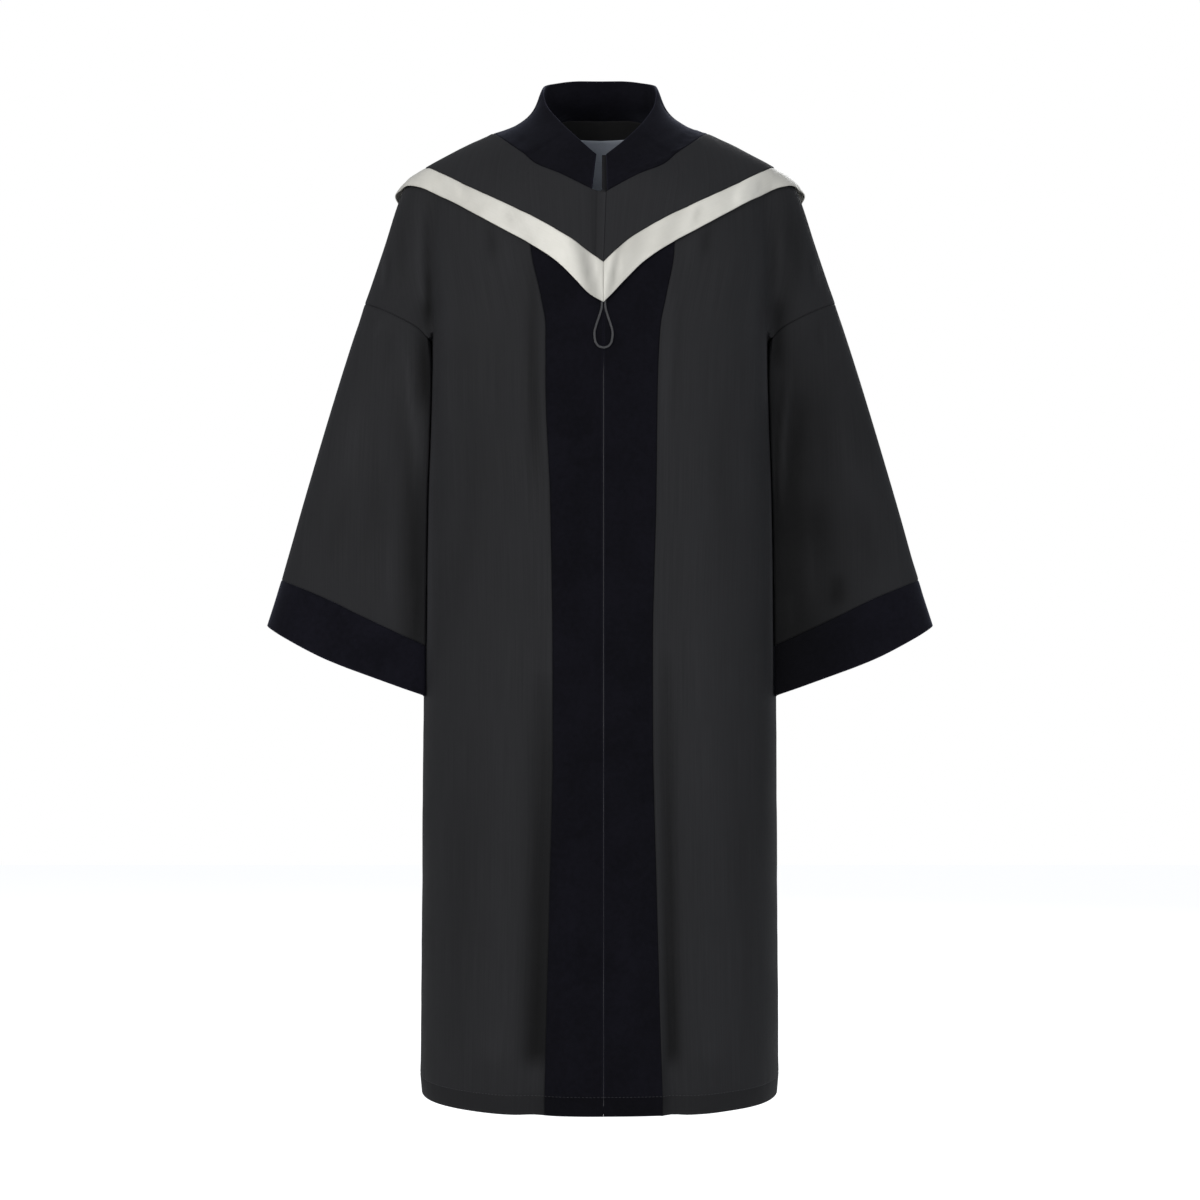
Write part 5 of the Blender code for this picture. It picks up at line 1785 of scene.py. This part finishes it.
# Painted highlights: two lighter lines along the zip tape.
def tape_shade(cloth):
    return sum(2.4 * bell(cloth.across - at, reach=0.0005) for at in TAPE_STITCH_HIGHLIGHTS)


# ------------------------------------------------------------------ the panels
# Each cloth's slot, wall and finishes: its outer face's, and its inner face's where that differs.
CLOTHS = {
    "suiting": ("charcoal_suiting", GOWN_CLOTH, ("suiting",)),
    "velvet": ("blue_black_velvet", VELVET, ("velvet", "wrong_side")),
    "collar": ("blue_black_velvet", COLLAR_WALL, ("velvet",)),
    "satin": ("ivory_satin", SATIN, ("satin",)),
    "facing": ("neck_facing_cloth", TAPE, ("facing",)),
    "label": ("label_cloth", TAPE, ("label",)),
    "tape": ("zip_tape", TAPE, ("tape",)),
}


def sew(
    node, grid, out, cloth_name, kinds, finish, relief=(), puckers=(), shade=None, held="hung", rests_on=()
):
    slot, wall, faces = CLOTHS[cloth_name]
    cloth = Cloth(grid, out, kinds.split(), wall)
    flat_cloth = np.zeros(cloth.x.shape)
    raised = sum([part(cloth) for part in relief] + [pucker(cloth, *row) for row in puckers], flat_cloth)
    shading = shade(cloth) if shade else flat_cloth
    made = cloth_mesh(f"{node}_cloth", cloth, raised, [finish[face] for face in faces], shading)
    hang_on_gown(made, node)
    if cloth.kinds["first_row"] == "hem":
        line, ways = line_on(cloth, cloth.outer_and_inner(raised)[0], "first_row", HEM_TURNING)
        stitches(f"hem_stitches_{node}", line, ways, finish["thread"])


def gown_body(finish):
    """Fronts, back, sleeves and cuffs."""
    grids = {}
    for word, side in SIDES.items():
        grids[f"velvet_front_{word}"] = velvet_front(side)
        grids[f"front_{word}"] = charcoal_front(side)
    grids["back"] = both_halves(half_back())
    for word, side in SIDES.items():
        grids[f"sleeve_{word}"] = mirrored(sleeve(0.0, CUFF_SEAM, SLEEVE_ROWS), side)
        grids[f"cuff_{word}"] = mirrored(sleeve(CUFF_SEAM, 1.0, CUFF_ROWS), side)
    outs = dict(zip(grids, outward(list(grids.values()))))

    def panel_of(node, *making, **more):
        sew(node, grids[node], outs[node], *making, **more)

    for word in SIDES:
        panel_of(
            f"velvet_front_{word}", "velvet", "hem seam fold seam", finish, [front_relief],
            [("last_column", 0.00022, 0.043, 0.008, 3.3)], velvet_shade,
        )
        panel_of(
            f"front_{word}", "suiting", "hem seam seam seam", finish, [charcoal_relief, hem_ripple],
            [("first_column", 0.0003, 0.047, 0.01, 1.9), ("last_column", 0.00025, 0.05, 0.01, 2.9)],
            front_shade,
        )
    panel_of(
        "back", "suiting", "hem seam seam seam", finish, [back_relief, hem_ripple],
        [("first_column", 0.00025, 0.05, 0.01, 0.9), ("last_column", 0.00025, 0.046, 0.01, 1.4)],
        back_shade,
    )
    for number, word in enumerate(SIDES):
        panel_of(
            f"sleeve_{word}", "suiting", "seam seam seam seam", finish, [sleeve_relief],
            [("first_row", 0.00035, 0.03, 0.012, 4.4 + number),
             ("last_row", 0.00055, 0.04, 0.011, 5.7 + number)], sleeve_shade,
        )
        panel_of(
            f"cuff_{word}", "velvet", "seam fold seam seam", finish, [],
            [("first_row", 0.0003, 0.034, 0.009, 6.2 + number)], cuff_shade,
        )
    return grids


# ------------------------------------------------------------------ the cape and the collar
def lifted(grids):
    """The cape's sheets moved out from the form, most at the point and behind."""
    moved = {}
    tip = np.array([FRONT_EDGE_X, 0.0, BAND_FRONT[0, 2]])
    for (name, grid), out in zip(grids.items(), outward(list(grids.values()))):
        apart = np.linalg.norm((grid - tip) * (1, 0, 1), axis=-1, keepdims=True)
        lift = CAPE_LIFT + TIP_LIFT * bell(apart, TIP_REACH) * (grid[..., 1:2] < 0)
        moved[name] = grid + out * (lift + BACK_LIFT * np.clip(grid[..., 1:2] / ARM_ROUND, 0, 1))
    return moved


def flared(band):
    """The back band with its free edge standing out behind each shoulder."""
    moved = band.copy()
    out = outward([band])[0]
    for side in SIDES.values():
        away = np.linalg.norm(band - band[:, -1 if side > 0 else 0][:, None], axis=-1)
        peak = bell(away - FLARE_PLACE, FLARE_REACH) * (band[..., 0] * side > 0)
        share = shares(len(band) - 1)[:, None] ** FLARE_LEAN
        moved = moved + FLARE * (peak * share)[..., None] * (out - np.array([0.0, 0.0, FLARE_DROP]))
    return moved


def cape_and_collar(finish):
    grids = {}
    for word, side in SIDES.items():
        sheets = (mirrored(on_form(flat, "front"), side) for flat in cape_front(side))
        grids[f"cape_front_{word}"], grids[f"satin_band_{word}"] = sheets
    grids["cape_back"], grids["satin_band_back"] = map(both_halves, cape_back())
    grids = lifted(grids)
    grids["satin_band_back"] = flared(grids["satin_band_back"])
    right, left = (grids[f"cape_front_{word}"][0] for word in SIDES)
    grids["collar"] = collar(np.concatenate([right[1:], grids["cape_back"][0][1:-1], left[:0:-1]]))
    outs = dict(zip(grids, outward(list(grids.values()))))

    def draped(node, *making, on):
        sew(node, grids[node], outs[node], *making, held="draped", rests_on=on)

    edges = {
        "right": ("placket", [cape_hang, placket], placket_shade),
        "left": ("fold", [cape_hang], cape_shade),
    }
    for word, (kind, relief, shade) in edges.items():
        fronts = (f"front_{word}", f"velvet_front_{word}")
        draped(
            f"cape_front_{word}", "suiting", f"seam seam {kind} seam", finish, relief,
            [("first_row", 0.0003, 0.028, 0.008, 7.1)], shade, on=fronts,
        )
        band = f"satin_band_{word}"
        draped(band, "satin", "seam fold seam seam", finish, [band_relief], [], band_shade, on=fronts)
    draped(
        "cape_back", "suiting", "seam seam seam seam", finish, [cape_hang],
        [("first_row", 0.0003, 0.03, 0.008, 8.1)], on=("back",),
    )
    draped("satin_band_back", "satin", "seam fold seam seam", finish, [band_back_relief], on=("back",))
    sew(
        "collar", grids["collar"], outs["collar"], "collar", "seam fold fold fold", finish, [collar_relief],
        [("first_row", 0.0004, 0.026, 0.007, 9.4)], held="stretched",
    )


def cut(grid, axis, low, high):
    """The stretch of a sheet between two values of x (axis 0) or z (axis 2), new points on its own lines."""
    lines = grid if axis == 0 else grid.swapaxes(0, 1)
    places = lines[..., axis]
    ends = [np.array([[picked(place, line[:, axis], line)] for line in lines]) for place in (low, high)]
    keep = ((places > low + ON_OUTLINE) & (places < high - ON_OUTLINE)).all(axis=0)
    part = np.concatenate([ends[0], lines[:, keep], ends[1]], axis=1)
    return part if axis == 0 else part.swapaxes(0, 1)


def sew_behind(node, sheet, sink, cloth_name, finish, shade, rests_on):
    """A trimming sewn flat against the wrong side of the gown, this far in from its outer face."""
    out = outward([sheet])[0]
    sew(
        node, sheet - out * sink, out, cloth_name, "fold fold fold fold", finish, shade=shade,
        held="stretched", rests_on=rests_on,
    )


def facing_and_label(back, finish):
    """Inside the back: a facing strip under the collar seam and a bare label sewn to it."""
    middle = back.shape[1] // 2
    yoke = back[HEM_ROWS + FACING_FOOT_ROW:]
    facing = yoke[:, middle - FACING_DIVISIONS:middle + FACING_DIVISIONS + 1]
    sink = GOWN_CLOTH + SEAM_GAP
    sew_behind("neck_facing", facing, sink, "facing", finish, None, ("back",))
    label = cut(cut(yoke, 0, -LABEL_HALF_WIDTH, LABEL_HALF_WIDTH), 2, LABEL_FOOT, LABEL_TOP)
    sew_behind("label", label, sink + TAPE + 2 * SEAM_GAP, "label", finish, label_shade, ("neck_facing",))


def zip_tapes(grids, finish):
    """The zip's two tapes behind the front edges, hem to neck; the left one shows in the neck slit."""
    for word, side in SIDES.items():
        middle = FRONT_EDGE_X * side
        tape = mirrored(grids[f"velvet_front_{word}"], side)
        tape = cut(tape, 0, middle + ZIP_SHOWS, middle + ZIP_TAPE_WIDTH)
        tape[:, 0, 0] = middle
        tape = cut(tape, 2, HEM_LEVEL + TAPE_FOOT, NECK_FRONT_LEVEL)
        if side > 0:
            rise = np.array([0.0, COLLAR_LEAN, 1.0]) * ZIP_TAPE_RISE * np.array(ZIP_TAPE_STEPS)[:, None, None]
            tape = np.concatenate([tape, tape[-1:] + rise - np.array([ZIP_TAPE_SHIFT, 0.0, 0.0])])
        tape, sink = mirrored(tape, side), VELVET + SEAM_GAP
        sew_behind(f"zip_tape_{word}", tape, sink, "tape", finish, tape_shade, (f"velvet_front_{word}",))


def main():
    camera()
    finish = finishes()
    twisted_cord(finish["cord"])
    studio()
    floor()
    grids = gown_body(finish)
    cape_and_collar(finish)
    facing_and_label(grids["back"], finish)
    zip_tapes(grids, finish)
    zip_chain(finish["teeth"])
    zip_slider(finish["metal"])


main()
